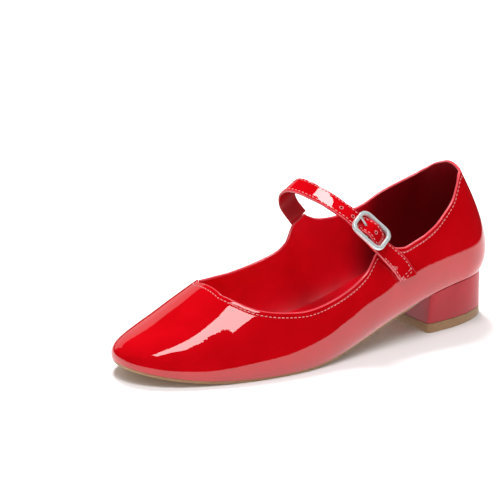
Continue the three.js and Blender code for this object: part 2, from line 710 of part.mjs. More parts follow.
// Strap: rises from the medial ear, arches over the instep and threads the buckle. across: share of the way to the
// buckle; forward and rise: shares of the span. The width direction is given sideways, toeward and up.
const STRAP_ARCH = [
  { across: -0.097, forward: 0.103, rise: 0.235, width: [-0.05, 0.87, -0.49] },
  { across: -0.064, forward: 0.150, rise: 0.405, width: [0.00, 0.87, -0.50] },
  { across: 0.083, forward: 0.173, rise: 0.478, width: [0.10, 0.87, -0.48] },
  { across: 0.276, forward: 0.155, rise: 0.434, width: [0.20, 0.88, -0.42] },
  { across: 0.460, forward: 0.115, rise: 0.340, width: [0.30, 0.88, -0.36] },
  { across: 0.676, forward: 0.088, rise: 0.233, width: [0.38, 0.87, -0.30] },
  { across: 0.892, forward: 0.062, rise: 0.103, width: [0.42, 0.86, -0.28] },
];
const ROOT_GAP = 0.65;
const STRAP_ROOT = { at: 0.464, width: [-0.1, 0.88, -0.46] };
const STRAP_THREADING = [
  { down: -1.5 * endBarPlace, out: strapUnderBar },
  { down: -endBarPlace, out: strapUnderBar },
  { down: -0.5 * endBarPlace, out: (strapUnderBar + strapOverCentre) / 2 },
  { down: 0, out: strapOverCentre },
  { down: 0.5 * endBarPlace, out: (strapUnderBar + strapOverCentre) / 2 },
  { down: 0.9 * endBarPlace, out: strapUnderBar },
];
// The prong takes the second hole from the end; the others show
const WINDOW_HOLE = 2.2;
const HOLE_PLACES = [0, 2, 3].map((step) => WINDOW_HOLE - step * HOLE_SPACING);

function strapBand(clearance) {
  const rootS = STRAP_ROOT.at * SHOE_LENGTH;
  const rootHeight = toplineMedial(rootS);
  const ear = sidePoint(-1, rootS, rootHeight);
  const root = ear.point.clone().addScaledVector(ear.normal, -WALL / 2);
  const lastStop = STRAP_THREADING.length - 1;
  const threading = STRAP_THREADING.map((stop, i) => ({
    point: onBuckle(stop.down + (i === lastStop ? clearance : 0), 0, stop.out),
    across: buckleAcross.clone(),
  }));
  const entry = threading[0].point;
  const span = entry.distanceTo(root);
  const direction = ([x, toeward, z]) => new THREE.Vector3(x, -toeward, z);
  const arch = STRAP_ARCH.map((row) => {
    const point = root.clone().lerp(entry, row.across);
    point.x = lerp(root.x, entry.x, row.across);
    point.y -= row.forward * span;
    point.z += row.rise * span;
    return { point, across: direction(row.width) };
  });
  const earSlope = (toplineMedial(rootS + 1) + featherHeight(rootS + 1))
    - (toplineMedial(rootS - 1) + featherHeight(rootS - 1));
  const rimNormal = new THREE.Vector3(0, earSlope / 2, 1).normalize();
  const start = { point: root.clone().addScaledVector(rimNormal, ROOT_GAP), across: direction(STRAP_ROOT.width) };
  const lead = { point: root.clone().addScaledVector(rimNormal, ROOT_GAP + 2), across: direction(STRAP_ROOT.width) };
  const width = STRAP_WIDTH + 2 * clearance;
  const thickness = STRAP_THICKNESS + 2 * clearance;
  return bandAlong([start, lead, ...arch, ...threading], width, thickness, 3);
}

function strapGeometry() {
  const { geometry, frames } = strapBand(0);
  let solid = toManifold(geometry).subtract(toManifold(prongGeometry(GAP)));
  const middleFrame = frames.reduce((best, f) => (
    f.point.distanceTo(buckleCentre) < best.point.distanceTo(buckleCentre) ? f : best));
  HOLE_PLACES.forEach((place) => {
    const wanted = middleFrame.length + place;
    const frame = frames.reduce((best, f) => (
      Math.abs(f.length - wanted) < Math.abs(best.length - wanted) ? f : best));
    const middle = frame.point.clone().addScaledVector(frame.tangent, wanted - frame.length);
    const ends = [-1, 1].map((side) => middle.clone().addScaledVector(frame.out, side * STRAP_THICKNESS));
    solid = solid.subtract(toManifold(barAlong(ends, HOLE_RADIUS, 10, false, frame.across)));
  });
  return fromManifold(solid);
}

function tabGeometry() {
  const lift = GAP + STRAP_THICKNESS / 2;
  const onQuarter = TAB_PATH.map((row) => {
    const { point, normal } = sidePoint(1, row.at * SHOE_LENGTH, row.up * COUNTER_HEIGHT);
    return { point: point.clone().addScaledVector(normal, lift), normal };
  });
  const stops = onQuarter.map((stop, i) => {
    const before = onQuarter[Math.max(i - 1, 0)].point;
    const after = onQuarter[Math.min(i + 1, onQuarter.length - 1)].point;
    const tangent = after.clone().sub(before).normalize();
    return { point: stop.point, across: new THREE.Vector3().crossVectors(tangent, stop.normal).normalize() };
  });
  const sign = Math.sign(stops[0].across.dot(buckleAcross));
  stops.forEach((stop) => stop.across.multiplyScalar(sign));
  const over = [
    { down: endBarPlace * 1.12, out: tabUnderStrap },
    { down: endBarPlace * 0.5, out: lerp(tabUnderStrap, tabUnderCentre, 0.15) },
    { down: -CENTRE_BAR / 4, out: tabUnderCentre },
  ].map((stop) => ({ point: onBuckle(stop.down, 0, stop.out), across: buckleAcross.clone() }));
  const foot = stops[stops.length - 1];
  const halfway = foot.point.clone().lerp(over[0].point, 0.5);
  const halfwayS = SHOE_LENGTH / 2 - halfway.y;
  const skin = sidePoint(1, halfwayS, halfway.z - featherHeight(halfwayS));
  const standOff = Math.max(halfway.clone().sub(skin.point).dot(skin.normal), lift + TAB_LIFT_OFF);
  const rise = {
    point: skin.point.clone().addScaledVector(skin.normal, standOff),
    across: foot.across.clone().add(buckleAcross).normalize(),
  };
  const band = bandAlong([...stops, rise, ...over], TAB_WIDTH, STRAP_THICKNESS, 4, TAB_SLANT);
  const tab = toManifold(band.geometry);
  return fromManifold(tab.subtract(toManifold(strapBand(GAP).geometry)));
}

const CORNER_STEPS = 5;
function buckleGeometry() {
  const loop = [];
  const corners = [[1, 1], [-1, 1], [-1, -1], [1, -1]];
  corners.forEach(([down, across], quarter) => {
    for (let i = 0; i <= CORNER_STEPS; i++) {
      const turn = ((quarter + i / CORNER_STEPS) * Math.PI) / 2;
      const u = down * (endBarPlace - BUCKLE_CORNER) + Math.cos(turn) * BUCKLE_CORNER;
      const v = across * (sideBarPlace - BUCKLE_CORNER) + Math.sin(turn) * BUCKLE_CORNER;
      loop.push(onBuckle(u, v, 0));
    }
  });
  const frame = toManifold(barAlong(loop, barHalf, 8, true, buckleOut));
  const barEnds = [-1, 1].map((side) => onBuckle(0, side * sideBarPlace, -CENTRE_BAR_DROP));
  const bar = toManifold(barAlong(barEnds, CENTRE_BAR / 2, 8, false, buckleOut));
  return fromManifold(frame.add(bar));
}

// Colours
const patent = { color: 0xc80716, roughness: 0.12, metalness: 0 };
const lining = { color: 0x9c0712, roughness: 0.45, metalness: 0 };
const tan = { color: 0x9b6f43, roughness: 0.7, metalness: 0 };
const steel = { color: 0xc9ced0, roughness: 0.28, metalness: 1 };

const parts = [
  { name: "upper", geometry: upperGeometry(), look: patent },
  { name: "insole", geometry: insoleGeometry(), look: lining },
  { name: "outsole", geometry: outsoleGeometry(0), look: tan },
  { name: "heel_block", geometry: heelBlockGeometry(), look: patent },
  { name: "top_lift", geometry: topLiftGeometry(), look: tan },
  { name: "strap", geometry: strapGeometry(), look: patent },
  { name: "buckle_tab", geometry: tabGeometry(), look: patent },
  { name: "buckle_frame", geometry: buckleGeometry(), look: steel },
  { name: "buckle_prong", geometry: prongGeometry(0), look: steel },
];

const shoe = new THREE.Group();
shoe.name = "mary_jane_left";
const bounds = new THREE.Box3();
parts.forEach(({ geometry }) => {
  geometry.computeBoundingBox();
  bounds.union(geometry.boundingBox);
});
const middle = bounds.getCenter(new THREE.Vector3());
parts.forEach(({ name, geometry, look }) => {
  geometry.translate(-middle.x, -middle.y, -bounds.min.z);
  const mesh = new THREE.Mesh(geometry, new THREE.MeshStandardMaterial(look));
  mesh.name = name;
  shoe.add(mesh);
});

export default shoe;
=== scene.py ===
import math

import bpy
import numpy as np
from mathutils import Matrix, Vector

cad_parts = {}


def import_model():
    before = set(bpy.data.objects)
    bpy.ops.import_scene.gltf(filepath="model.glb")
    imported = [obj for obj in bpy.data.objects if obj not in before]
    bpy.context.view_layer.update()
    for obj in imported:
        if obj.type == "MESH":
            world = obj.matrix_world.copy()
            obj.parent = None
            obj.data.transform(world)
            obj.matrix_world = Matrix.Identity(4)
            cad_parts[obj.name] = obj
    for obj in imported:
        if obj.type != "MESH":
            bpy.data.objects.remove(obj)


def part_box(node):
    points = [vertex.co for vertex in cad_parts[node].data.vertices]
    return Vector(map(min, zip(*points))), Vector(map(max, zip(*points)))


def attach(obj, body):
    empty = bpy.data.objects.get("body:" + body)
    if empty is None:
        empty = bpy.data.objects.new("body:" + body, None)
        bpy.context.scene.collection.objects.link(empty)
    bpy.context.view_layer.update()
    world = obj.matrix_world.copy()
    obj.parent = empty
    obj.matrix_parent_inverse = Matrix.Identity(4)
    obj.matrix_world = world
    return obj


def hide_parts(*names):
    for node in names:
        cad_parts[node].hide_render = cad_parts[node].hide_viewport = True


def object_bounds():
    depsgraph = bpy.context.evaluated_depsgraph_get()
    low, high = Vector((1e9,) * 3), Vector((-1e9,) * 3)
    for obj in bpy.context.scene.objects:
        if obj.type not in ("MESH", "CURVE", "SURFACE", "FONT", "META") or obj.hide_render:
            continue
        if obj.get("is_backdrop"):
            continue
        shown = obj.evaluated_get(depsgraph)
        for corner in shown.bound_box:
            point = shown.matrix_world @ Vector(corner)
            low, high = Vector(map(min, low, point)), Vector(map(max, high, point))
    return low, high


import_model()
CAD_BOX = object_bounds()

# Left mary jane pump. Sizes in millimetres; places along the shoe are shares of its length from the heel.
MM = 0.001
SHOE_LENGTH = 246.0
BALL_WIDTH = 86.0
INSTEP_HEIGHT = 90.0
SEAT_HEIGHT = 31.3
COUNTER_HEIGHT = 60.0
WALL = 1.8
GAP = 0.3
SOLE_THICKNESS = 1.5
SEAT_SOLE_THICKNESS = 1.2
INSOLE_THICKNESS = 4.6
TOP_LIFT_THICKNESS = 5.6
STRAP_WIDTH = 11.5
STRAP_THICKNESS = 1.6
TAB_WIDTH = 11.5
BUCKLE_LENGTH = 22.4
BUCKLE_WIDTH = 18.6
BUCKLE_BAR = 2.4
BUCKLE_CORNER = 4.4
CENTRE_BAR = 1.6
PRONG_BAR = 1.2
HOLE_RADIUS = 0.9
HOLE_SPACING = 7.8


def table(columns, rows):
    """Rows of numbers as named columns."""
    values = np.array(rows, float)
    return {name: values[:, i] for i, name in enumerate(columns.split())}


# Sections of the last, as shares of the ball width and instep height, with the section's two powers
SECTIONS = table("at half centre ridge ridge_x tuck side_tuck round flat", [
    (0.0, 0.33, -0.006, 0.845, 0.0, 0.045, 0.0, 1.35, 1.95),
    (0.12, 0.351, -0.006, 0.89, 0.0, 0.049, 0.0, 1.35, 1.95),
    (0.25, 0.377, 0.006, 0.98, 0.0, 0.065, -0.009, 1.35, 1.95),
    (0.37, 0.4, 0.017, 0.99, -0.012, 0.086, -0.021, 1.4, 1.95),
    (0.48, 0.434, 0.023, 0.865, -0.023, 0.073, -0.021, 1.55, 2.0),
    (0.58, 0.48, 0.012, 0.71, -0.029, 0.044, -0.009, 1.7, 2.05),
    (0.68, 0.5, -0.012, 0.585, -0.041, 0.028, 0.0, 1.8, 2.05),
    (0.76, 0.479, -0.028, 0.47, -0.052, 0.024, 0.0, 1.9, 2.1),
    (0.84, 0.444, -0.042, 0.345, -0.064, 0.023, 0.0, 2.0, 2.2),
    (0.92, 0.407, -0.053, 0.255, -0.07, 0.021, 0.0, 2.1, 2.3),
    (1.0, 0.372, -0.063, 0.2, -0.076, 0.021, 0.0, 2.2, 2.3),
])
# Height of the feather line along the shoe, as a share of the seat height
FEATHER = table("at height", [
    (0.0, 1.0), (0.1, 0.94), (0.22, 0.805), (0.33, 0.565), (0.45, 0.27), (0.56, 0.096),
    (0.66, 0.054), (0.76, 0.061), (0.86, 0.115), (0.94, 0.214), (1.0, 0.32),
])
# Height of the topline over the feather line on each side, as shares of the counter height
TOPLINE_LATERAL = table("at height", [
    (0.0, 1.01), (0.1, 1.01), (0.121, 1.005), (0.14, 0.905), (0.156, 0.813), (0.188, 0.72),
    (0.223, 0.648), (0.265, 0.618), (0.304, 0.616), (0.326, 0.642), (0.343, 0.682), (0.351, 0.712),
    (0.362, 0.72), (0.387, 0.72), (0.396, 0.705), (0.403, 0.677), (0.426, 0.607), (0.465, 0.56),
    (0.52, 0.533), (0.594, 0.519), (0.659, 0.544), (0.704, 0.577), (0.732, 0.619), (0.745, 0.648),
    (0.755, 0.669), (0.7645, 0.69),
])
TOPLINE_MEDIAL = table("at height", [
    (0.0, 0.99), (0.098, 0.985), (0.114, 0.928), (0.136, 0.89), (0.169, 0.857), (0.229, 0.812),
    (0.284, 0.757), (0.349, 0.781), (0.391, 0.838), (0.41, 0.877), (0.439, 0.965), (0.4505, 1.003),
    (0.477, 0.945), (0.483, 0.77), (0.504, 0.698), (0.552, 0.657), (0.6, 0.627), (0.64, 0.609),
    (0.677, 0.609), (0.705, 0.617), (0.721, 0.632), (0.741, 0.678), (0.755, 0.692), (0.7645, 0.694),
])
# Ends of the last and roll of its feather edge, as shares of the length, with their powers
TOE = {"start": 0.748, "power": 2.7, "tuck": 0.008}
BACK = {"start": 0.134, "power": 2.15, "tuck": 0.025, "lean": 0.055, "lean_power": 2.2, "lean_height": 0.93}
EDGE_ROLL = 0.033
# Peak of the topline at the back, as shares of the counter height and ball width
BACK_PEAK = {"rise": 0.05, "width": 0.116}
# Where the rays that fan round the heel and the toe start, as shares of the length
FAN_HEEL = 0.126
FAN_TOE = 0.61
SHEET_FAN_TOE = 0.82
# Half the width in which one side's topline turns into the other's, and how far rays may pass the ends
SIDE_BLEND = 8.0
LIMIT_OVERRUN = 4.0
# Searches on the last: halvings, range of elevations and the step for a slope
SURFACE_HALVINGS = 30
TOPLINE_HALVINGS = 24
SIDE_HALVINGS = 40
ELEVATIONS = (0.02, 1.5)
PROBE = 0.01


def hermite(t, start, end, leave, arrive):
    """Cubic from start to end for t from 0 to 1, with its slopes at both."""
    first = (2 * t ** 3 - 3 * t ** 2 + 1) * start + (t ** 3 - 2 * t ** 2 + t) * leave
    return first + (3 * t ** 2 - 2 * t ** 3) * end + (t ** 3 - t ** 2) * arrive


def natural_spline(xs, ys):
    """Smooth curve through points, with no bend at its ends."""
    count = len(xs)
    gap = np.diff(xs)
    matrix = np.eye(count)
    right = np.zeros(count)
    for i in range(1, count - 1):
        matrix[i, i - 1:i + 2] = gap[i - 1], 2 * (gap[i - 1] + gap[i]), gap[i]
        right[i] = 6 * ((ys[i + 1] - ys[i]) / gap[i] - (ys[i] - ys[i - 1]) / gap[i - 1])
    bend = np.linalg.solve(matrix, right)

    def value(x):
        i = np.clip(np.searchsorted(xs, x) - 1, 0, count - 2)
        a = (xs[i + 1] - x) / gap[i]
        b = (x - xs[i]) / gap[i]
        curl = (a ** 3 - a) * bend[i] + (b ** 3 - b) * bend[i + 1]
        return a * ys[i] + b * ys[i + 1] + curl * gap[i] ** 2 / 6
    return value


def steady_spline(xs, ys):
    """Smooth curve that never overshoots its points."""
    count = len(xs)
    gap = np.diff(xs)
    slope = np.diff(ys) / gap
    tangent = np.zeros(count)
    tangent[0], tangent[-1] = slope[0], slope[-1]
    for i in range(1, count - 1):
        before, after = slope[i - 1], slope[i]
        tangent[i] = 2 * before * after / (before + after) if before * after > 0 else 0.0

    def value(x):
        at = np.clip(x, xs[0], xs[-1])
        i = np.clip(np.searchsorted(xs, at) - 1, 0, count - 2)
        t = (at - xs[i]) / gap[i]
        return hermite(t, ys[i], ys[i + 1], gap[i] * tangent[i], gap[i] * tangent[i + 1])
    return value


def along(rows, key, scale, spline=natural_spline):
    """A column of a table as a curve over the distance from the heel."""
    return spline(rows["at"] * SHOE_LENGTH, rows[key] * scale)


half, centre, ridge_x, tuck, side_tuck = [
    along(SECTIONS, column, BALL_WIDTH) for column in ("half", "centre", "ridge_x", "tuck", "side_tuck")]
ridge = along(SECTIONS, "ridge", INSTEP_HEIGHT)
round_power, flat_power = [along(SECTIONS, column, 1.0) for column in ("round", "flat")]
feather_height = along(FEATHER, "height", SEAT_HEIGHT)
topline_lateral = along(TOPLINE_LATERAL, "height", COUNTER_HEIGHT, steady_spline)
topline_medial = along(TOPLINE_MEDIAL, "height", COUNTER_HEIGHT, steady_spline)
THROAT_END = TOPLINE_LATERAL["at"][-1] * SHOE_LENGTH


def last(x, s, h):
    """The last as an implicit body, 1 on its surface: s from the heel, h over the feather line."""
    sc = np.clip(s, 0, SHOE_LENGTH)
    up = np.maximum(h, 0)
    edge = np.exp(-h / (EDGE_ROLL * SHOE_LENGTH))
    top = ridge(sc)
    middle = centre(sc) + (ridge_x(sc) - centre(sc)) * np.clip(h / top, 0, 1)
    dx = x - middle
    width = half(sc) - (tuck(sc) + np.sign(dx) * side_tuck(sc)) * edge
    body = (np.abs(dx) / width) ** flat_power(sc) + (up / top) ** round_power(sc)
    toe_start = SHOE_LENGTH * TOE["start"]
    tip = SHOE_LENGTH * (1 - TOE["tuck"] * edge)
    toe = np.maximum((s - toe_start) / (tip - toe_start), 0) ** TOE["power"]
    lean = BACK["lean"] * (up / (BACK["lean_height"] * COUNTER_HEIGHT)) ** BACK["lean_power"]
    rear = SHOE_LENGTH * (BACK["tuck"] * edge + lean)
    heel_start = SHOE_LENGTH * BACK["start"]
    back = np.maximum((heel_start - s) / (heel_start - rear), 0) ** BACK["power"]
    return body + toe + back


def meet(stations, elevation):
    """Where rays from the spine, in each station's direction and at an elevation, leave the last."""
    start_s, dx, ds = stations
    start_x = centre(start_s)
    flat, rise = np.cos(elevation), np.sin(elevation)

    def point(reach):
        return start_x + dx * flat * reach, start_s + ds * flat * reach, rise * reach

    near = np.zeros(np.broadcast(start_s, elevation).shape)
    far = near + SHOE_LENGTH
    for _ in range(SURFACE_HALVINGS):
        reach = (near + far) / 2
        x, s, h = point(reach)
        inside = (s > -LIMIT_OVERRUN) & (s < SHOE_LENGTH + LIMIT_OVERRUN) & (last(x, s, h) < 1)
        near, far = np.where(inside, reach, near), np.where(inside, far, reach)
    return point(near)


def normal_at(x, s, h):
    """Outward direction of the last's surface in space."""
    d = PROBE
    low = np.maximum(h - d, 0)
    across = (last(x + d, s, h) - last(x - d, s, h)) / (2 * d)
    lengthways = (last(x, s + d, h) - last(x, s - d, h)) / (2 * d)
    up = (last(x, s, h + d) - last(x, s, low)) / (h + d - low)
    slope = (feather_height(s + d) - feather_height(s - d)) / (2 * d)
    n = np.stack([across, -(lengthways - up * slope), up], -1)
    return unit(n)


def unit(v):
    return v / np.linalg.norm(v, axis=-1, keepdims=True)


def world(x, s, h):
    """Place of a point of the last, with the toe towards -Y."""
    return np.stack([x, SHOE_LENGTH / 2 - s, feather_height(np.clip(s, 0, SHOE_LENGTH)) + h], -1)


def distance_along(points):
    """Running distance along rows of points, from 0."""
    steps = np.linalg.norm(np.diff(points, axis=-2), axis=-1).cumsum(-1)
    return np.concatenate([np.zeros_like(steps[..., :1]), steps], -1)


def pick(places, run, rows):
    """Rows of points or directions, read at distances along them."""
    return np.stack([np.interp(places, run, rows[:, c]) for c in range(3)], -1)


def stations_around(heel_steps, side_steps, toe_steps, toe_at, corners=()):
    """Plan directions round the shoe, from the heel's back by the lateral side to the toe and back."""
    heel, toe = FAN_HEEL * SHOE_LENGTH, toe_at * SHOE_LENGTH
    places = np.linspace(heel, toe, side_steps, endpoint=False)
    marks = np.array(corners) * SHOE_LENGTH
    step = places[1] - places[0]
    clear = [p for p in places if all(abs(p - m) > step / 3 for m in marks)]
    places = np.sort(np.concatenate([clear, marks]))
    turn = np.linspace(0, np.pi / 2, heel_steps, endpoint=False)
    bow = np.linspace(0, np.pi / 2, toe_steps + 1)
    s = np.concatenate([np.full(len(turn), heel), places, np.full(len(bow), toe)])
    dx = np.concatenate([np.sin(turn), np.ones(len(places)), np.cos(bow)])
    ds = np.concatenate([-np.cos(turn), np.zeros(len(places)), np.sin(bow)])
    back = slice(-2, 0, -1)
    return (np.concatenate([s, s[back]]), np.concatenate([dx, -dx[back]]), np.concatenate([ds, ds[back]]))


def topline_elevation(stations, lowered):
    """Elevation at which each station's rays meet the topline, lowered by a few tenths."""
    low, high = [np.full(len(stations[0]), limit) for limit in ELEVATIONS]
    for _ in range(TOPLINE_HALVINGS):
        middle = (low + high) / 2
        x, s, h = meet(stations, middle)
        off = x - centre(np.clip(s, 0, SHOE_LENGTH))
        side = np.clip(off / SIDE_BLEND, -1, 1) / 2 + 0.5
        peak = np.exp(-(off / (BACK_PEAK["width"] * BALL_WIDTH)) ** 2) * (s < SHOE_LENGTH / 2)
        cut = topline_medial(s) * (1 - side) + topline_lateral(s) * side - lowered
        cut = cut + BACK_PEAK["rise"] * COUNTER_HEIGHT * peak
        below = (s > THROAT_END - lowered) | (h < cut)
        low, high = np.where(below, middle, low), np.where(below, high, middle)
    return low


# Materials
def new_material(name):
    material = bpy.data.materials.new(name)
    material.use_nodes = True
    tree = material.node_tree
    return material, tree, tree.nodes["Principled BSDF"]


def feed(tree, target, values):
    """Sets a node's inputs, or links them where the value is another node's output."""
    for socket, value in values.items():
        if isinstance(value, bpy.types.NodeSocket):
            tree.links.new(value, target.inputs[socket])
        else:
            target.inputs[socket].default_value = value


def node(tree, kind, values, **settings):
    """Adds a shader node with its settings and inputs."""
    made = tree.nodes.new("ShaderNode" + kind)
    for name, value in settings.items():
        setattr(made, name, value)
    feed(tree, made, values)
    return made


def noise(tree, scale, detail=2.0, stretch=(1.0, 1.0, 1.0)):
    """Noise over the object's own coordinates, in waves per metre."""
    place = node(tree, "TexCoord", {}).outputs["Object"]
    mapped = node(tree, "Mapping", {"Vector": place, "Scale": stretch}).outputs["Vector"]
    return node(tree, "TexNoise", {"Vector": mapped, "Scale": scale, "Detail": detail}).outputs["Fac"]


def ramp(tree, value, stops):
    """Colour ramp over a value, from (place, colour) stops."""
    made = node(tree, "ValToRGB", {"Fac": value})
    while len(made.color_ramp.elements) < len(stops):
        made.color_ramp.elements.new(0.5)
    for element, (place, colour) in zip(made.color_ramp.elements, stops):
        element.position = place
        element.color = (*colour, 1.0)
    return made.outputs["Color"]


def two_tone(tree, waves, deep, bright, share=0.3):
    """Colour that wanders between two tones."""
    return ramp(tree, noise(tree, waves), [(share, deep), (1 - share, bright)])


def remap(tree, value, ends, edges=(0.0, 1.0), kind="LINEAR"):
    """Maps a value's stretch between two edges to the two ends."""
    made = node(tree, "MapRange", {"Value": value}, interpolation_type=kind)
    for name, limit in zip(("From Min", "From Max", "To Min", "To Max"), edges + ends):
        made.inputs[name].default_value = limit
    return made.outputs["Result"]


def bump(tree, height, distance, strength, under=None):
    values = {"Height": height, "Distance": distance, "Strength": strength}
    if under is not None:
        values["Normal"] = under
    return node(tree, "Bump", values).outputs["Normal"]


# Waves per metre of each finish
PATENT_WAVES = {"tint": 60, "haze": 900, "ripple": 70, "peel": 420}
LINING_WAVES = {"tint": 90, "haze": 700, "grain": 2600}
TAN_WAVES = {"layers": 260, "haze": 500}
STEEL_WAVES = {"tint": 500, "brush": 1500}
THREAD_WAVES = {"tint": 2400, "haze": 1800, "twist": 6000}


def patent_material(name, deep, bright, coat=1.0):
    """Patent leather: saturated leather under a mirror-like lacquer with a faint ripple."""
    material, tree, shader = new_material(name)
    ripple = bump(tree, noise(tree, PATENT_WAVES["ripple"], 0.0), 0.0005, 0.35)
    peel = bump(tree, noise(tree, PATENT_WAVES["peel"], 1.0), 0.00002, 0.5, ripple)
    feed(tree, shader, {
        "Base Color": two_tone(tree, PATENT_WAVES["tint"], deep, bright),
        "Roughness": remap(tree, noise(tree, PATENT_WAVES["haze"]), (0.30, 0.42)),
        "Specular IOR Level": 0.0,
        "Coat Weight": coat,
        "Coat Roughness": 0.015,
        "Coat IOR": 1.65,
        "Normal": peel,
        "Coat Normal": peel,
    })
    return material


# Where the lining's colour deepens into painted shade, in metres along Y, and the painted shade's tone at
# its heel end
LINING_PAINTED_SHADE_SPAN = (0.045, 0.068)
HEEL_PAINTED_SHADE_TONE = (0.17, 0.0006, 0.0040, 1.0)


def heelward_painted_shade(tree, colour):
    """Darkens a colour towards the heel as painted shade. Inputs 6 and 7 of a mix are its colours."""
    place = node(tree, "TexCoord", {}).outputs["Object"]
    along_y = node(tree, "SeparateXYZ", {"Vector": place}).outputs["Y"]
    share = remap(tree, along_y, (0.0, 1.0), LINING_PAINTED_SHADE_SPAN, "SMOOTHSTEP")
    return node(tree, "Mix", {0: share, 6: colour, 7: HEEL_PAINTED_SHADE_TONE}, data_type="RGBA").outputs[2]


def lining_material(name, deep, bright, roughness, painted_heel_shade=False):
    """Smooth lining leather with a fine grain, darkened towards the heel by painted shade when asked."""
    material, tree, shader = new_material(name)
    colour = two_tone(tree, LINING_WAVES["tint"], deep, bright, 0.25)
    haze = noise(tree, LINING_WAVES["haze"])
    feed(tree, shader, {
        "Base Color": heelward_painted_shade(tree, colour) if painted_heel_shade else colour,
        "Roughness": remap(tree, haze, (roughness - 0.06, roughness + 0.06)),
        "Specular IOR Level": 0.45,
        "Normal": bump(tree, noise(tree, LINING_WAVES["grain"], 3.0), 0.00006, 0.4),
    })
    return material


def tan_material(name, stretch):
    """Pressed tan sole board: fine layers, faint mottling, matte."""
    material, tree, shader = new_material(name)
    layers = noise(tree, TAN_WAVES["layers"], 3.0, stretch)
    colours = [(0.25, (0.24, 0.125, 0.052)), (0.5, (0.33, 0.18, 0.080)), (0.8, (0.41, 0.235, 0.11))]
    feed(tree, shader, {
        "Base Color": ramp(tree, layers, colours),
        "Roughness": remap(tree, noise(tree, TAN_WAVES["haze"]), (0.5, 0.72)),
        "Normal": bump(tree, layers, 0.00012, 0.5),
    })
    return material


def steel_material(name):
    """Satin silver plating with fine scratches."""
    material, tree, shader = new_material(name)
    brushed = noise(tree, STEEL_WAVES["brush"], 2.0, (1.0, 6.0, 1.0))
    feed(tree, shader, {
        "Metallic": 0.45,
        "Base Color": two_tone(tree, STEEL_WAVES["tint"], (0.60, 0.66, 0.66), (0.72, 0.78, 0.78)),
        "Roughness": remap(tree, brushed, (0.2, 0.34)),
        "Normal": bump(tree, brushed, 0.00001, 0.4),
    })
    return material


def thread_material(name, deep, bright):
    """Twisted sewing thread."""
    material, tree, shader = new_material(name)
    feed(tree, shader, {
        "Base Color": two_tone(tree, THREAD_WAVES["tint"], deep, bright),
        "Roughness": remap(tree, noise(tree, THREAD_WAVES["haze"]), (0.45, 0.65)),
        "Normal": bump(tree, noise(tree, THREAD_WAVES["twist"], 1.0), 0.00005, 0.6),
    })
    return material


PATENT = patent_material("patent_red", (0.43, 0.0004, 0.0030), (0.49, 0.0008, 0.0045))
HEEL_PATENT = patent_material("heel_red", (0.38, 0.0006, 0.0090), (0.44, 0.0010, 0.0120), 0.42)
# Lighter pink on the upper's rim and the bands' edges: a painted highlight where the edges catch light.
EDGE_HIGHLIGHT = patent_material("patent_edge_painted_highlight", (0.58, 0.045, 0.062), (0.68, 0.09, 0.11))
# The lining and the insole are darkened towards the heel with painted shade.
LINING = lining_material("lining_red", (0.66, 0.0012, 0.0120), (0.76, 0.0020, 0.0160), 0.38, True)
SOCK = lining_material("insole_red", (0.68, 0.0012, 0.0120), (0.78, 0.0020, 0.0160), 0.34, True)
UNDERSIDE = lining_material("strap_backing", (0.30, 0.0012, 0.0050), (0.36, 0.0020, 0.0070), 0.4)
TAN = tan_material("tan_board", (1.0, 1.0, 14.0))
STEEL = steel_material("satin_silver")
THREAD = thread_material("thread_pink", (0.62, 0.16, 0.18), (0.86, 0.42, 0.42))
# Light pink rings round the strap's holes, made like thread: a painted highlight.
HOLE_HIGHLIGHT = thread_material("hole_painted_highlight", (0.75, 0.25, 0.26), (0.85, 0.40, 0.40))


# Meshes
class Shell:
    """Collects rings of points and the faces between them."""

    def __init__(self):
        self.points = []
        self.faces = []
        self.slots = []

    def ring(self, points):
        """Adds a ring of points and returns their numbers."""
        first = len(self.points)
        self.points += np.asarray(points, float).tolist()
        return np.arange(first, len(self.points))

    def band(self, lower, upper, slot=0):
        """Faces between two rings of equal length."""
        self.faces += np.stack([lower, np.roll(lower, -1), np.roll(upper, -1), upper], 1).tolist()
        self.slots += [slot] * len(lower)

    def cap(self, ring):
        self.faces.append(list(ring))
        self.slots.append(0)

    def tube(self, rings):
        """Bands from ring to ring, with both ends closed."""
        for low, high in zip(rings, rings[1:]):
            self.band(low, high)
        self.cap(rings[0][::-1])
        self.cap(rings[-1])

    def piece(self, name, materials, sharp):
        """Makes the object, smooth but for edges over a sharp angle in degrees, or all smooth at 0."""
        mesh = bpy.data.meshes.new(name)
        mesh.from_pydata((np.array(self.points) * MM).tolist(), [], self.faces)
        for material in materials:
            mesh.materials.append(material)
        mesh.polygons.foreach_set("material_index", self.slots)
        mesh.validate()
        mesh.shade_smooth()
        if sharp:
            mesh.set_sharp_from_angle(angle=math.radians(sharp))
        mesh.update()
        made = bpy.data.objects.new(name, mesh)
        bpy.context.collection.objects.link(made)
        return made


def carve(piece, cutters):
    """Cuts the cutters out of a piece for good."""
    for cutter in cutters:
        cut = piece.modifiers.new("cut", "BOOLEAN")
        cut.operation = "DIFFERENCE"
        cut.solver = "EXACT"
        cut.object = cutter
    seen = piece.evaluated_get(bpy.context.evaluated_depsgraph_get())
    mesh = bpy.data.meshes.new_from_object(seen)
    piece.modifiers.clear()
    piece.data = mesh
    for cutter in cutters:
        bpy.data.objects.remove(cutter)


def settle(piece, slot, *nodes):
    """Moves a piece into the frame and lets it ride, in place of its nodes."""
    piece.data.transform(Matrix.Translation(SHIFT))
    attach(piece, "root")
    if nodes:
        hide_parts(*nodes)


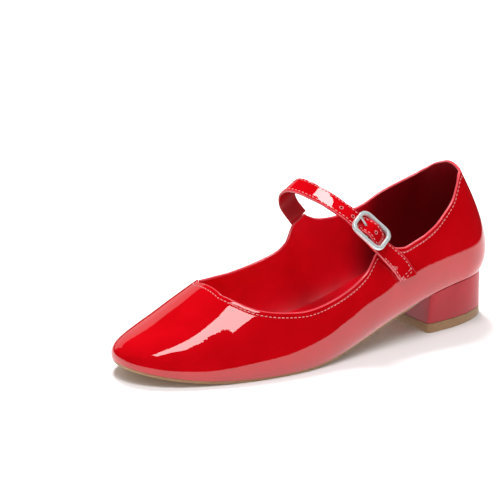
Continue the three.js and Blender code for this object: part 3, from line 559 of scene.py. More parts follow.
# Upper. Rows are distances below the topline; the rest of each side is shared out below them.
EAR_CORNERS = (0.351, 0.396, 0.403, 0.4505, 0.477, 0.483)
UPPER_STEPS = (50, 200, 76)
PROFILE_STEPS = 80
RIM_RISE = 0.8
RIM_STEPS = 8
STITCH_DEPTH = 2.3
TOP_ROWS = (0.0, 0.4, 0.9, 1.4, 1.8, 2.1, 2.4, 2.7, 3.1, 3.7, 4.6)
SIDE_ROWS = 34
SIDE_EASE = 1.15
INNER_ROWS = 20
INNER_EASE = 1.3
GROOVE = {"depth": 0.16, "width": 0.45}
RIPPLE_HEIGHT = 0.02
CALM_EDGE = 6.0


def rows_below_topline(stations, top, distances):
    """Elevations at which the surface lies these distances below the topline, one column each."""
    shares = np.linspace(0, 1, PROFILE_STEPS)
    x, s, h = meet([v[:, None] for v in stations], top[:, None] * shares)
    run = distance_along(world(x, s, h))
    up = run[:, -1:] - distances(run[:, -1:])
    return np.stack([np.interp(up[i], run[i], top[i] * shares) for i in range(len(top))])


def ripple(x, s, h):
    """Faint waves, a few millimetres long, that real patent leather keeps after lasting."""
    long_waves = np.sin(s / 7.3 + h / 9.0) * np.sin(x / 8.1 - s / 23.0)
    short_waves = np.sin(s / 3.9 - x / 5.7 + 1.3)
    return RIPPLE_HEIGHT * (long_waves + 0.6 * short_waves)


def make_upper():
    """The hollow wall with its rolled rim, and the lane that its topline stitches follow."""
    stations = stations_around(*UPPER_STEPS, FAN_TOE, EAR_CORNERS)
    top = topline_elevation(stations, RIM_RISE)
    rest = 1 - (np.arange(1, SIDE_ROWS + 1) / SIDE_ROWS)
    near_top = np.array(TOP_ROWS)

    def distances(total):
        down = total - (total - near_top[-1]) * rest ** SIDE_EASE
        return np.concatenate([np.broadcast_to(near_top, (len(total), len(near_top))), down], 1)

    elevation = rows_below_topline(stations, top, distances)
    columns = [v[:, None] for v in stations]
    x, s, h = meet(columns, elevation)
    normal = normal_at(x, s, h)
    surface = world(x, s, h)
    depth = distance_along(surface)
    groove = GROOVE["depth"] * np.exp(-((depth - STITCH_DEPTH) / GROOVE["width"]) ** 2)
    calm = np.clip(depth / CALM_EDGE, 0, 1) * np.clip(h / CALM_EDGE, 0, 1)
    outer = surface + normal * (ripple(x, s, h) * calm - groove)[..., None]

    inner_elevation = top[:, None] * np.linspace(1, 0, INNER_ROWS + 1) ** INNER_EASE
    xi, si, hi = meet(columns, inner_elevation)
    inner_normal = normal_at(xi, si, hi)
    inner_normal[:, -1] = unit(inner_normal[:, -1] * (1, 1, 0))
    inner = world(xi, si, hi) - inner_normal * WALL

    shell = Shell()
    outside = [shell.ring(row) for row in outer.swapaxes(0, 1)]
    inside = [shell.ring(row) for row in inner.swapaxes(0, 1)]
    middle = (outer[:, 0] + inner[:, 0]) / 2
    across = (outer[:, 0] - inner[:, 0]) / 2
    up = unit(surface[:, 0] - surface[:, 1])
    turns = np.linspace(0, np.pi, RIM_STEPS + 1)[1:-1]
    rim = [shell.ring(middle + across * np.cos(t) + up * RIM_RISE * np.sin(t)) for t in turns]
    chain = outside[::-1] + rim + inside + outside[-1:]
    # The rim takes the lighter edge colour, a painted highlight.
    slots = [0] * (len(outside) - 1) + [2] * len(rim) + [1] * (len(inside) + 1)
    for low, high, slot in zip(chain, chain[1:], slots):
        shell.band(low, high, slot)
    piece = shell.piece("upper_shell", [PATENT, LINING, EDGE_HIGHLIGHT], 50.0)
    stitch_at = rows_below_topline(stations, top, lambda total: np.full((len(total), 1), STITCH_DEPTH))
    x, s, h = [np.append(v[:, 0], v[0, 0]) for v in meet(columns, stitch_at)]
    normal = normal_at(x, s, h)
    return piece, (world(x, s, h) - normal * GROOVE["depth"], normal)


# Stitches. Each ring of one is (share of the half length, share of the radius, share of the rise).
STITCH = {"pitch": 2.45, "length": 1.75, "radius": 0.23, "rise": 0.16}
STITCH_RINGS = ((-1.0, 0.3, -1.4), (-0.82, 0.85, -0.35), (-0.4, 1.0, 0.75), (0.0, 1.0, 1.0),
                (0.4, 1.0, 0.75), (0.82, 0.85, -0.35), (1.0, 0.3, -1.4))
STITCH_SIDES = 6


def stitch_run(name, lanes, slot):
    """One mesh of stitches along lanes. A lane is (points, normals)."""
    shell = Shell()
    turns = np.arange(STITCH_SIDES) * 2 * np.pi / STITCH_SIDES
    for points, normals in lanes:
        run = distance_along(points)
        count = max(int(run[-1] / STITCH["pitch"]), 1)
        pitch = run[-1] / count
        for k in range(count):
            ends = [(k + 0.5) * pitch + side * STITCH["length"] / 2 for side in (-1, 1)]
            a, b = pick(ends, run, points)
            n = unit(pick(sum(ends) / 2, run, normals))
            forward = (b - a) / 2
            sideways = unit(np.cross(forward, n))
            rings = []
            for share, thick, lift in STITCH_RINGS:
                middle = (a + b) / 2 + forward * share + n * lift * STITCH["rise"]
                loop = np.outer(np.cos(turns), sideways) + np.outer(np.sin(turns), n)
                rings.append(shell.ring(middle + loop * STITCH["radius"] * thick))
            shell.tube(rings)
    settle(shell.piece(name, [THREAD], 0), slot)


# Insole and outsole: sheets of rings at shares of the way from the spine to the outline
INSOLE_CLEARANCE = WALL + 2 * GAP
INSOLE_CROWN = {"drop": 0.35, "power": 60}
SOLE_INSET = {"seat": 5.0, "forepart": 0.8}
SOLE_WIDENS = (0.19, 0.3)
SOLE_EDGE_ROUND = 0.35
SHEET_STEPS = (24, 120, 32)
SHEET_SHARES = (1.0, 0.992, 0.975, 0.94, 0.85, 0.7, 0.5, 0.25, 0.0)
CUTTER_SHARES = (1.0, 0.5, 0.02)


def sheet(name, inset_at, top_at, bottom_at, shares, material):
    """Closed sheet inside the feather outline between two heights, with slots for top, edge and bottom."""
    stations = stations_around(*SHEET_STEPS, SHEET_FAN_TOE)
    x, s, h = meet(stations, np.zeros(len(stations[0])))
    inset = unit(normal_at(x, s, h)[:, :2]) * np.reshape(inset_at(s), (-1, 1))
    x, s = x - inset[:, 0], s + inset[:, 1]
    spine_x, spine_s = centre(stations[0]), stations[0]
    shell = Shell()

    def ring(share, height_at):
        px = spine_x + (x - spine_x) * share
        ps = spine_s + (s - spine_s) * share
        return shell.ring(np.stack([px, SHOE_LENGTH / 2 - ps, height_at(ps, share)], -1))

    top = [ring(share, top_at) for share in shares]
    bottom = [ring(share, bottom_at) for share in shares]
    shell.band(bottom[0], top[0], 1)
    for i in range(len(shares) - 1):
        shell.band(top[i], top[i + 1], 0)
        shell.band(bottom[i + 1], bottom[i], 2)
    return shell.piece(name, [material] * 3, 45.0)


def make_insole():
    def top_at(s, share):
        crown = INSOLE_CROWN["drop"] * share ** INSOLE_CROWN["power"]
        return feather_height(s) + INSOLE_THICKNESS - crown

    def bottom_at(s, share):
        return feather_height(s)

    return sheet("insole_sock", lambda s: INSOLE_CLEARANCE, top_at, bottom_at, SHEET_SHARES, SOCK)


def seat_share(s):
    """How far a place is from the heel seat, 0, to the forepart, 1."""
    start, end = SOLE_WIDENS
    return np.clip((s / SHOE_LENGTH - start) / (end - start), 0, 1)


def sole_inset(s):
    t = seat_share(s)
    return SOLE_INSET["seat"] + (SOLE_INSET["forepart"] - SOLE_INSET["seat"]) * t * t * (3 - 2 * t)


def make_outsole(name, clearance, shares, edge_round):
    """The outsole, or with a clearance all round a cutter in its shape."""
    def top_at(s, share):
        return feather_height(s) - GAP + clearance

    def bottom_at(s, share):
        thickness = SEAT_SOLE_THICKNESS + (SOLE_THICKNESS - SEAT_SOLE_THICKNESS) * seat_share(s)
        flat = np.maximum(feather_height(s) - GAP - thickness, 0) - clearance
        return flat + edge_round * (share == 1.0)

    return sheet(name, lambda s: sole_inset(s) - clearance, top_at, bottom_at, shares, TAN)


# Heel: widths as shares of the ball width, places as shares of the length
HEEL = {"floor_half": 0.283, "centre": -0.004, "breast_floor": 0.228, "breast_top": 0.2295,
        "back_floor": 0.017, "back_top": 0.0265}
HEEL_EDGE_INSET = 0.8
HEEL_WAIST = 0.46
HEEL_RINGS = 14
HEEL_TOP_SHARES = (1.0, 0.8, 0.6, 0.4, 0.2, 0.05)
HEEL_CORNER_STEPS = 6
BREAST_STEPS = 8
SEAM = {"in": 0.9, "down": 0.8}
LIFT_PROFILE = ((0.0, 0.5), (0.25, 0.15), (0.6, 0.0),
                (TOP_LIFT_THICKNESS - 0.3, 0.0), (TOP_LIFT_THICKNESS, 0.15))
# Half outline at the floor from breast to back, as shares of the length and half width
HEEL_OUTLINE = table("at half", [
    (0.228, 0.925), (0.2265, 0.975), (0.221, 1.0), (0.17, 0.975), (0.125, 0.9),
    (0.085, 0.77), (0.052, 0.59), (0.028, 0.36), (0.0185, 0.17),
])


def catmull(points, per_span):
    """Dense points along a centripetal curve through the given ones."""
    points = np.asarray(points, float)
    ends = [2 * points[0] - points[1], 2 * points[-1] - points[-2]]
    padded = np.concatenate([[ends[0]], points, [ends[1]]])
    out = []
    for i in range(len(points) - 1):
        p0, p1, p2, p3 = padded[i:i + 4]
        d0, d1, d2 = [max(np.linalg.norm(b - a), 1e-6) ** 0.5 for a, b in ((p0, p1), (p1, p2), (p2, p3))]
        m1 = ((p1 - p0) / d0 - (p2 - p0) / (d0 + d1) + (p2 - p1) / d1) * d1
        m2 = ((p2 - p1) / d1 - (p3 - p1) / (d1 + d2) + (p3 - p2) / d2) * d1
        t = np.linspace(0, 1, per_span, endpoint=False)[:, None]
        out.append(hermite(t, p1, p2, m1, m2))
    out.append(points[-1:])
    return np.concatenate(out)


def heel_rings():
    """Floor and top outlines of the heel block, dense and in step with each other."""
    rows = [(at, 1, half_share) for at, half_share in zip(*HEEL_OUTLINE.values())]
    rows += [(HEEL["back_floor"], 1, 0.0)]
    rows += [(at, -1, half_share) for at, _, half_share in rows[-2::-1]]
    widest_at = HEEL_OUTLINE["at"][HEEL_OUTLINE["half"].argmax()]
    floor, top = [], []
    for at, side, half_share in rows:
        x = (HEEL["centre"] + side * half_share * HEEL["floor_half"]) * BALL_WIDTH
        floor.append((x, SHOE_LENGTH * (0.5 - at), 0.0))
        share = (at - HEEL["back_floor"]) / (HEEL["breast_floor"] - HEEL["back_floor"])
        s = (HEEL["back_top"] + (HEEL["breast_top"] - HEEL["back_top"]) * share) * SHOE_LENGTH
        station = [np.array([v]) for v in (s, float(side), 0.0)]
        edge = meet(station, np.zeros(1))[0][0]
        middle = centre(s)
        cornered = half_share if at > widest_at else 1.0
        reach = 0.0 if half_share == 0 else (abs(edge - middle) - HEEL_EDGE_INSET) * cornered
        top.append((middle + side * reach, SHOE_LENGTH / 2 - s, feather_height(s) - GAP))
    dense = []
    for ring in (floor, top):
        curve = catmull(ring, HEEL_CORNER_STEPS)
        breast = np.linspace(curve[-1], curve[0], BREAST_STEPS, endpoint=False)[1:]
        dense.append(np.concatenate([curve, breast]))
    return dense


def make_heel_block():
    """The wrapped block: it draws in to a waist, and the seam under the seat is a groove."""
    floor, top = heel_rings()
    base = TOP_LIFT_THICKNESS + GAP
    shell = Shell()
    rings = []
    seam_at = 1 - SEAM["down"] / (top[:, 2].mean() - base)
    for t in np.append(np.arange(HEEL_RINGS) / HEEL_RINGS, seam_at):
        share = t * t * (2 - 4 * HEEL_WAIST) + t * (4 * HEEL_WAIST - 1)
        ring = floor + (top - floor) * share
        ring[:, 2] = base + (top[:, 2] - base) * t
        rings.append(shell.ring(ring))
    hub_s = FAN_HEEL * SHOE_LENGTH
    hub = np.array([centre(hub_s), SHOE_LENGTH / 2 - hub_s, 0])
    top[:, :2] -= unit(top[:, :2] - hub[:2]) * SEAM["in"]
    for share in HEEL_TOP_SHARES:
        ring = hub + (top - hub) * share
        ring[:, 2] = feather_height(SHOE_LENGTH / 2 - ring[:, 1]) - GAP
        rings.append(shell.ring(ring))
    shell.tube(rings)
    piece = shell.piece("heel_block_wrap", [HEEL_PATENT], 35.0)
    carve(piece, [make_outsole("sole_cutter", GAP, CUTTER_SHARES, 0.0)])
    return piece


def make_top_lift():
    """The tread piece, from a profile of heights and insets."""
    floor, _ = heel_rings()
    inward = unit(floor.mean(0) - floor)
    shell = Shell()
    rings = []
    for z, inset in LIFT_PROFILE:
        ring = floor + inward * inset
        ring[:, 2] = z
        rings.append(shell.ring(ring))
    shell.tube(rings)
    return shell.piece("top_lift_rubber", [TAN], 35.0)


# Fastening
def side_point(side, s, h):
    """A surface point on one side at a place and height, with its outward direction."""
    middle = centre(s) + (ridge_x(s) - centre(s)) * np.clip(h / ridge(s), 0, 1)
    near, far = 0.0, BALL_WIDTH
    for _ in range(SIDE_HALVINGS):
        reach = (near + far) / 2
        inside = last(middle + side * reach, s, h) < 1
        near, far = (reach, far) if inside else (near, reach)
    x = middle + side * near
    return world(x, s, h), normal_at(x, s, np.float64(h))


# Tab: places as shares of the length and counter height, lean of its cut end, heights off skin and strap
TAB_PATH = table("at up", [(0.3155, 0.343), (0.3262, 0.422), (0.3365, 0.500)])
TAB_SLANT = 0.41
SLANT_REACH = 1.3
TAB_LIFT_OFF = 0.5
TAB_DROP = 0.5
# Buckle: its centre from the tab's top, and its three directions
BUCKLE_REACH = {"down": 25.3, "across": 6.0, "out": 11.2}
buckle_down = unit(np.array([0.52, 0.53, -0.64]))
buckle_across = np.array([0.43, -0.84, -0.3])
buckle_across = unit(buckle_across - buckle_down * buckle_across.dot(buckle_down))
buckle_out = np.cross(buckle_across, buckle_down)
tab_top = side_point(1, TAB_PATH["at"][-1] * SHOE_LENGTH, TAB_PATH["up"][-1] * COUNTER_HEIGHT)[0]
buckle_centre = (tab_top - buckle_down * BUCKLE_REACH["down"] + buckle_across * BUCKLE_REACH["across"]
                 + buckle_out * BUCKLE_REACH["out"])


def on_buckle(down, across, out):
    """A place on the buckle, from its centre."""
    return buckle_centre + buckle_down * down + buckle_across * across + buckle_out * out


# Heights over the frame's middle: the strap under the end bars and over the centre bar, the tab under both
bar_half = BUCKLE_BAR / 2
end_bar_place = (BUCKLE_LENGTH - BUCKLE_BAR) / 2
side_bar_place = (BUCKLE_WIDTH - BUCKLE_BAR) / 2
CENTRE_BAR_DROP = 1.0
STRAP_SLACK = 0.05
strap_under_bar = -(bar_half + GAP + STRAP_THICKNESS / 2 + STRAP_SLACK)
strap_over_centre = CENTRE_BAR / 2 - CENTRE_BAR_DROP + GAP + STRAP_THICKNESS / 2 + STRAP_SLACK
tab_under_strap = strap_under_bar - STRAP_THICKNESS - GAP - TAB_DROP
tab_under_centre = -CENTRE_BAR_DROP - CENTRE_BAR / 2 - GAP - STRAP_THICKNESS / 2
STRAP_ARCH = table("across forward rise width_x width_toe width_z", [
    (-0.097, 0.103, 0.235, -0.05, 0.87, -0.49),
    (-0.064, 0.150, 0.405, 0.00, 0.87, -0.50),
    (0.083, 0.173, 0.478, 0.10, 0.87, -0.48),
    (0.276, 0.155, 0.434, 0.20, 0.88, -0.42),
    (0.460, 0.115, 0.340, 0.30, 0.88, -0.36),
    (0.676, 0.088, 0.233, 0.38, 0.87, -0.30),
    (0.892, 0.062, 0.103, 0.42, 0.86, -0.28),
])
ROOT_GAP = 0.65
STRAP_ROOT = {"at": 0.464, "width": np.array([-0.1, -0.88, -0.46])}
strap_between_bars = (strap_under_bar + strap_over_centre) / 2
STRAP_THREADING = (
    (-1.5 * end_bar_place, strap_under_bar),
    (-end_bar_place, strap_under_bar),
    (-0.5 * end_bar_place, strap_between_bars),
    (0.0, strap_over_centre),
    (0.5 * end_bar_place, strap_between_bars),
    (0.9 * end_bar_place, strap_under_bar),
)
TAB_THREADING = (
    (1.12 * end_bar_place, tab_under_strap),
    (0.5 * end_bar_place, 0.85 * tab_under_strap + 0.15 * tab_under_centre),
    (-CENTRE_BAR / 4, tab_under_centre),
)
# Punched holes from the buckle's centre along the strap, and a light ring round each as a painted highlight
HOLE_STEPS = (0, 2, 3)
WINDOW_HOLE = 2.2
HOLE_HIGHLIGHT_RING = {"radius": 1.05, "wire": 0.14, "proud": 0.1, "steps": 24}
# Bands: steps between stops, edge rounding, at most a share of the thickness, crown and stitch rows
BAND_STEPS = 10
BAND_CORNER = 0.55
BAND_CORNER_SHARE = 0.45
BAND_CROWN = 0.12
STITCH_EDGE = 1.5
STITCH_PROUD = 0.02
STRAP_ROW_END = 2.0
TAB_ROWS = {"start": 1.6, "share": 0.62, "cross": (1.5, 3.3)}


class Band:
    """Frames along a curve through stops of (point, width direction)."""

    def __init__(self, stops):
        places = np.array([stop[0] for stop in stops])
        widths = np.array([stop[1] for stop in stops])
        self.point = catmull(places, BAND_STEPS)
        index = np.linspace(0, len(stops) - 1, len(self.point))
        across = pick(index, np.arange(len(stops)), widths)
        self.tangent = unit(np.gradient(self.point, axis=0))
        self.across = unit(across - self.tangent * (across * self.tangent).sum(1, keepdims=True))
        self.out = np.cross(self.across, self.tangent)
        self.run = distance_along(self.point)

    def at(self, place):
        """Point, tangent, width and outward direction at a distance along the band."""
        directions = [unit(pick(place, self.run, rows)) for rows in (self.tangent, self.across, self.out)]
        return pick(place, self.run, self.point), *directions

    def lane(self, across, out, start, end):
        """A stitch lane at a distance from the middle line."""
        keep = (self.run >= start) & (self.run <= end)
        return self.point[keep] + self.across[keep] * across + self.out[keep] * out, self.out[keep]

    def cross_lane(self, place, half_width, out):
        """A stitch lane straight across the band."""
        point, _, across, outward = self.at(place)
        spots = np.linspace(-half_width, half_width, 5)[:, None]
        return point + across * spots + outward * out, np.repeat(outward[None], len(spots), 0)


def band_section(width, thickness):
    """Closed outline of a soft-edged band: (across, out, slot: 0 face, 1 back, 2 the face's edges, which
    carry a painted highlight).
    """
    corner = min(BAND_CORNER, thickness * BAND_CORNER_SHARE)
    w, d = width / 2, thickness / 2
    flat = np.linspace(-1, 1, 9)
    edge = np.linspace(0, np.pi / 2, 5)[1:-1]
    back = [(u * (w - corner), -d, 1) for u in flat]
    face = [(u * (w - corner), d + BAND_CROWN * (1 - u * u), 0) for u in flat[::-1]]
    lower_right = [(w - corner + corner * np.sin(t), -d + corner * (1 - np.cos(t)), 1) for t in edge]
    upper_right = [(w - corner + corner * np.cos(t), d - corner * (1 - np.sin(t)), 2) for t in edge]
    right = lower_right + [(w, -d + corner, 0), (w, d - corner, 0)] + upper_right
    left = [(-a, o, slot) for a, o, slot in right[::-1]]
    return back + right + face + left


def make_band(name, band, width, thickness, slant=0.0):
    """Sweeps the section along a band. A slant leans its first end."""
    across, out, slots = [list(column) for column in zip(*band_section(width, thickness))]
    shell = Shell()
    rings = []
    for point, a, o, t, run in zip(band.point, band.across, band.out, band.tangent, band.run):
        lean = slant * max(1 - run / (SLANT_REACH * width), 0)
        rings.append(shell.ring(point + np.outer(across, a + t * lean) + np.outer(out, o)))
    shell.tube(rings)
    strip = [max(pair) for pair in zip(slots, slots[1:] + slots[:1])]
    shell.slots = strip * (len(rings) - 1) + [0, 0]
    return shell.piece(name, [PATENT, UNDERSIDE, EDGE_HIGHLIGHT], 50.0)


def bar_along(name, points, radius, material, loop=False, flat_normal=None, squareness=1.0, sides=14):
    """A bar swept along points. squareness over 1 flattens its faces; radius may be one per point."""
    points = np.asarray(points, float)
    radius = np.broadcast_to(np.asarray(radius, float), (len(points),))
    flat_normal = buckle_out if flat_normal is None else flat_normal
    if loop:
        tangent = unit(np.roll(points, -1, 0) - np.roll(points, 1, 0))
    else:
        tangent = unit(np.gradient(points, axis=0))
    turns = (np.arange(sides) + 0.5) * 2 * np.pi / sides
    power = 1 / squareness
    u = np.sign(np.cos(turns)) * np.abs(np.cos(turns)) ** power
    v = np.sign(np.sin(turns)) * np.abs(np.sin(turns)) ** power
    shell = Shell()
    rings = []
    for p, t, r in zip(points, tangent, radius):
        sideways = unit(np.cross(flat_normal, t))
        upright = np.cross(t, sideways)
        rings.append(shell.ring(p + (np.outer(u, sideways) + np.outer(v, upright)) * r))
    if loop:
        for low, high in zip(rings, rings[1:] + rings[:1]):
            shell.band(low, high)
    else:
        shell.tube(rings)
    return shell.piece(name, [material], 60.0)


# Prong: heights over the frame along it, steps between its stops and how its tip thins
PRONG_PATH = (
    (-(CENTRE_BAR / 2 + GAP + PRONG_BAR / 2), -CENTRE_BAR_DROP),
    (-end_bar_place * 0.45, 0.25),
    (-end_bar_place * 0.75, bar_half + GAP),
    (-end_bar_place, bar_half + GAP + PRONG_BAR / 2),
    (-end_bar_place - 1, bar_half + GAP + PRONG_BAR / 2 - 0.1),
)
PRONG_STEPS = 6
PRONG_TIP = (0.96, 0.85, 0.65, 0.35)


def make_prong(name, clearance, rounded):
    """The prong, or with a clearance the cutter for its hole in the strap."""
    points = catmull([on_buckle(down, 0, out) for down, out in PRONG_PATH], PRONG_STEPS)
    radius = np.full(len(points), PRONG_BAR / 2 + clearance)
    if rounded:
        radius[-len(PRONG_TIP):] *= PRONG_TIP
    return bar_along(name, points, radius, STEEL, flat_normal=buckle_across)


def strap_path(clearance):
    """The strap's band from the medial ear through the buckle, its end longer by the clearance."""
    root_s = STRAP_ROOT["at"] * SHOE_LENGTH
    ear, ear_normal = side_point(-1, root_s, float(topline_medial(root_s)))
    root = ear - ear_normal * WALL / 2
    threading = [(on_buckle(down + clearance * (i == len(STRAP_THREADING) - 1), 0, out), buckle_across)
                 for i, (down, out) in enumerate(STRAP_THREADING)]
    entry = threading[0][0]
    span = np.linalg.norm(entry - root)
    arch = []
    for across, forward, rise, wx, wt, wz in zip(*STRAP_ARCH.values()):
        point = root + (entry - root) * across
        point = point + np.array([0, -forward, rise]) * span
        arch.append((point, np.array([wx, -wt, wz])))
    tops = [topline_medial(root_s + d) + feather_height(root_s + d) for d in (1, -1)]
    rim_normal = unit(np.array([0, (tops[0] - tops[1]) / 2, 1]))
    start = [(root + rim_normal * rise, STRAP_ROOT["width"]) for rise in (ROOT_GAP, ROOT_GAP + 2)]
    return Band(start + arch + threading)


def make_strap():
    """The punched strap, with light rings round its holes as painted highlights, and its stitch lanes."""
    band = strap_path(0)
    piece = make_band("strap_band", band, STRAP_WIDTH, STRAP_THICKNESS)
    cutters = [make_prong("prong_cutter", GAP, False)]
    middle = band.run[np.linalg.norm(band.point - buckle_centre, axis=1).argmin()]
    turns = np.linspace(0, 2 * np.pi, HOLE_HIGHLIGHT_RING["steps"], endpoint=False)
    highlight_rings = []
    for k, step in enumerate(HOLE_STEPS):
        point, _, across, out = band.at(middle + WINDOW_HOLE - step * HOLE_SPACING)
        ends = [point + out * side * STRAP_THICKNESS for side in (-1, 1)]
        cutters.append(bar_along("hole_cutter", ends, HOLE_RADIUS, LINING, flat_normal=across))
        # Each hole gets a light ring proud of the strap, a painted highlight.
        circle = np.outer(np.cos(turns), across) + np.outer(np.sin(turns), np.cross(out, across))
        ring = point + out * (STRAP_THICKNESS / 2 + HOLE_HIGHLIGHT_RING["proud"]) + circle * HOLE_HIGHLIGHT_RING["radius"]
        highlight_rings.append(bar_along(f"hole_highlight_ring_{k + 1}", ring, HOLE_HIGHLIGHT_RING["wire"], HOLE_HIGHLIGHT, True, out, sides=8))
    carve(piece, cutters)
    for rim in highlight_rings:
        settle(rim, "strap")
    edge = STRAP_WIDTH / 2 - STITCH_EDGE
    face = STRAP_THICKNESS / 2 + STITCH_PROUD
    end = band.run[-1] - STRAP_ROW_END
    return piece, [band.lane(side * edge, face, STRAP_ROW_END, end) for side in (-1, 1)]


def make_tab():
    """The tab up the quarter to the centre bar, and its stitch lanes."""
    lift = GAP + STRAP_THICKNESS / 2
    skins = [side_point(1, at * SHOE_LENGTH, up * COUNTER_HEIGHT) for at, up in zip(*TAB_PATH.values())]
    points = [point + normal * lift for point, normal in skins]
    stops = []
    for point, (_, normal), tangent in zip(points, skins, np.gradient(points, axis=0)):
        across = unit(np.cross(tangent, normal))
        stops.append((point, across * -np.sign(across.dot(buckle_across))))
    over = [on_buckle(down, 0, out) for down, out in TAB_THREADING]
    foot, foot_across = stops[-1]
    halfway = (foot + over[0]) / 2
    halfway_s = SHOE_LENGTH / 2 - halfway[1]
    skin, skin_normal = side_point(1, halfway_s, halfway[2] - feather_height(halfway_s))
    stand_off = max((halfway - skin).dot(skin_normal), lift + TAB_LIFT_OFF)
    stops.append((skin + skin_normal * stand_off, unit(foot_across - buckle_across)))
    stops += [(point, -buckle_across) for point in over]
    band = Band(stops)
    piece = make_band("tab_band", band, TAB_WIDTH, STRAP_THICKNESS, -TAB_SLANT)
    strap_shape = (STRAP_WIDTH + 2 * GAP, STRAP_THICKNESS + 2 * GAP)
    carve(piece, [make_band("strap_cutter", strap_path(GAP), *strap_shape)])
    edge = TAB_WIDTH / 2 - STITCH_EDGE
    face = STRAP_THICKNESS / 2 + STITCH_PROUD
    end = band.run[-1] * TAB_ROWS["share"]
    lanes = [band.lane(side * edge, face, TAB_ROWS["start"], end) for side in (-1, 1)]
    lanes += [band.cross_lane(place, edge, face) for place in TAB_ROWS["cross"]]
    return piece, lanes


# Frame: steps round a corner, (down, across, start of the turn in degrees) and squareness of its bar
CORNER_STEPS = 8
CORNERS = ((1, 1, 0), (-1, 1, 90), (-1, -1, 180), (1, -1, 270))
FRAME_SQUARENESS = 1.7


def make_buckle():
    """The rounded frame and its centre bar."""
    loop = []
    for down, across, start in CORNERS:
        for i in range(CORNER_STEPS + 1):
            turn = math.radians(start + i * 90 / CORNER_STEPS)
            u = down * (end_bar_place - BUCKLE_CORNER) + math.cos(turn) * BUCKLE_CORNER
            v = across * (side_bar_place - BUCKLE_CORNER) + math.sin(turn) * BUCKLE_CORNER
            loop.append(on_buckle(u, v, 0))
    rim = bar_along("buckle_frame_bar", loop, bar_half, STEEL, True, squareness=FRAME_SQUARENESS, sides=20)
    ends = [on_buckle(0, side * side_bar_place, -CENTRE_BAR_DROP) for side in (-1, 1)]
    return rim, bar_along("buckle_centre_bar", ends, CENTRE_BAR / 2, STEEL)


# Build everything, then move it into the frame
upper, topline_lane = make_upper()
corners = np.array([corner[:] for corner in upper.bound_box])
node_low, node_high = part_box("upper")
SHIFT = (node_low + node_high) / 2 - Vector((corners.min(0) + corners.max(0)) / 2)
SHIFT.z = 0.0
settle(upper, "upper", "upper")
stitch_run("topline_stitches", [topline_lane], "upper")
settle(make_insole(), "insole", "insole")
settle(make_outsole("outsole_board", 0.0, SHEET_SHARES, SOLE_EDGE_ROUND), "outsole", "outsole")
settle(make_heel_block(), "heel_block", "heel_block")
settle(make_top_lift(), "top_lift", "top_lift")
strap, strap_lanes = make_strap()
settle(strap, "strap", "strap")
stitch_run("strap_stitches", strap_lanes, "strap")
tab, tab_lanes = make_tab()
settle(tab, "buckle_tab", "buckle_tab")
stitch_run("tab_stitches", tab_lanes, "buckle_tab")
buckle, centre_bar = make_buckle()
settle(buckle, "buckle_frame", "buckle_frame")
settle(centre_bar, "buckle_frame", "buckle_frame")
settle(make_prong("buckle_prong_bar", 0.0, True), "buckle_prong", "buckle_prong")

# Camera: the eye's place round the shoe in degrees and metres, and the target's pixel in the frame
CAMERA = {"azimuth": 54.48, "elevation": 17.78, "roll": 0.82, "distance": 1.65}
TARGET = Vector((0.0, 0.0, 0.040))
TARGET_PIXEL = (306.0, 275.1)
FOCAL_PIXELS = 2953.4
FRAME_PIXELS = 500
SENSOR = 36.0


def make_camera():
    a, e, r = [math.radians(CAMERA[key]) for key in ("azimuth", "elevation", "roll")]
    back = Vector((math.sin(a) * math.cos(e), -math.cos(a) * math.cos(e), math.sin(e)))
    right = Vector((math.cos(a), math.sin(a), 0.0))
    up = back.cross(right)
    right, up = right * math.cos(r) + up * math.sin(r), up * math.cos(r) - right * math.sin(r)
    eye = TARGET + back * CAMERA["distance"]
    off_x = (FRAME_PIXELS / 2 - TARGET_PIXEL[0]) / FOCAL_PIXELS
    off_y = (TARGET_PIXEL[1] - FRAME_PIXELS / 2) / FOCAL_PIXELS
    back = (back - right * off_x - up * off_y).normalized()
    right = (right - back * right.dot(back)).normalized()
    up = back.cross(right)
    data = bpy.data.cameras.new("camera")
    data.sensor_width = SENSOR
    data.lens = SENSOR * FOCAL_PIXELS / FRAME_PIXELS
    camera = bpy.data.objects.new("camera", data)
    camera.matrix_world = Matrix.Translation(eye) @ Matrix((right, up, back)).transposed().to_4x4()
    bpy.context.collection.objects.link(camera)
    bpy.context.scene.camera = camera


make_camera()


# Floor, studio light and world. In gloss the floor is a painted glow rather than lit floor, and it ends a
# little way out from the shoe, in metres.
FLOOR_REACH = 4.0
FLOOR_COLOUR = (0.93, 0.93, 0.93, 1.0)
GLOSS_GLOW_EDGE = (0.36, 0.43)
GLOSS_GLOW_STRENGTH = (1.75, 0.02)
WHITE = (1.0, 1.0, 1.0, 1.0)
ROOM = 0.5
ROOM_GLOSS = 0.015
# Name, place, aim, size, watts, turn in degrees, and whether gloss shows it
LIGHTS = (
    ("key_softbox", (0.68, -0.22, 2.0), (0.68, -0.22, 0), (1.4, 0.36), 12.0, 14.0, True),
    ("toe_softbox", (0.24, -0.60, 2.0), (0.24, -0.60, 0), (0.34, 0.46), 3.7, 0.0, True),
    ("strap_softbox", (-0.95, 0.68, 2.0), (0, 0, 0), (0.42, 0.42), 5.0, 0.0, True),
    ("side_panel", (-2.0, 0.2, 0.75), (0, 0, 0.2), (1.6, 1.0), 3.0, 0.0, True),
    ("front_fill", (0.45, -0.35, 1.5), (0, 0, 0), (0.6, 0.6), 5.0, 0.0, False),
    ("rear_fill", (-0.6, 0.2, 1.3), (0, 0, 0), (0.4, 0.4), 24.0, 0.0, False),
)


def split_gloss(tree, plain, mirrored, output):
    """One shader for the eye and soft light, another for what gloss mirrors."""
    is_gloss = node(tree, "LightPath", {}).outputs["Is Glossy Ray"]
    mix = node(tree, "MixShader", {0: is_gloss, 1: plain, 2: mirrored})
    feed(tree, tree.nodes[output], {"Surface": mix.outputs["Shader"]})


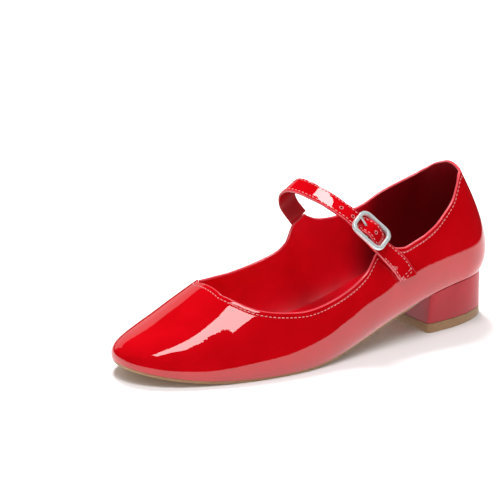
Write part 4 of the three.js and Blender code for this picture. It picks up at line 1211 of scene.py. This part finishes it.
def make_floor():
    mesh = bpy.data.meshes.new("floor")
    corners = [(x * FLOOR_REACH, y * FLOOR_REACH, 0) for x, y in ((-1, -1), (1, -1), (1, 1), (-1, 1))]
    mesh.from_pydata(corners, [], [(0, 1, 2, 3)])
    floor = bpy.data.objects.new("floor", mesh)
    bpy.context.collection.objects.link(floor)
    material, tree, shader = new_material("studio_floor")
    feed(tree, shader, {"Base Color": FLOOR_COLOUR, "Roughness": 0.9, "Specular IOR Level": 0.0})
    # In gloss the floor is a painted glow, bright near the shoe and fading away.
    place = node(tree, "TexCoord", {}).outputs["Object"]
    distance = node(tree, "VectorMath", {0: place}, operation="LENGTH").outputs["Value"]
    fade = remap(tree, distance, GLOSS_GLOW_STRENGTH, GLOSS_GLOW_EDGE, "SMOOTHSTEP")
    glow = node(tree, "Emission", {"Strength": fade})
    split_gloss(tree, shader.outputs["BSDF"], glow.outputs["Emission"], "Material Output")
    mesh.materials.append(material)
    floor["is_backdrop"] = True


def area_light(name, place, aim, size, power, turn, glossy):
    data = bpy.data.lights.new(name, "AREA")
    data.shape = "RECTANGLE"
    data.size, data.size_y = size
    data.energy = power
    lamp = bpy.data.objects.new(name, data)
    place, aim = Vector(place), Vector(aim)
    lamp.location = place
    lamp.rotation_euler = (place - aim).to_track_quat("Z", "Y").to_euler()
    lamp.rotation_euler.z += math.radians(turn)
    lamp.visible_glossy = glossy
    bpy.context.collection.objects.link(lamp)


def make_world():
    """Even white studio light; what gloss sees above the floor is a dim room."""
    world_data = bpy.data.worlds.new("studio")
    world_data.use_nodes = True
    tree = world_data.node_tree
    room = tree.nodes["Background"]
    feed(tree, room, {"Color": WHITE, "Strength": ROOM})
    dim = node(tree, "Background", {"Color": WHITE, "Strength": ROOM_GLOSS})
    split_gloss(tree, room.outputs["Background"], dim.outputs["Background"], "World Output")
    bpy.context.scene.world = world_data


make_floor()
make_world()
for light in LIGHTS:
    area_light(*light)
bpy.context.scene.view_settings.view_transform = "Standard"

# The CAD model's box and the visual model's, for comparing sizes
boxes = {"cad": CAD_BOX, "visual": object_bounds()}
{name: [list(corner) for corner in box] for name, box in boxes.items()}
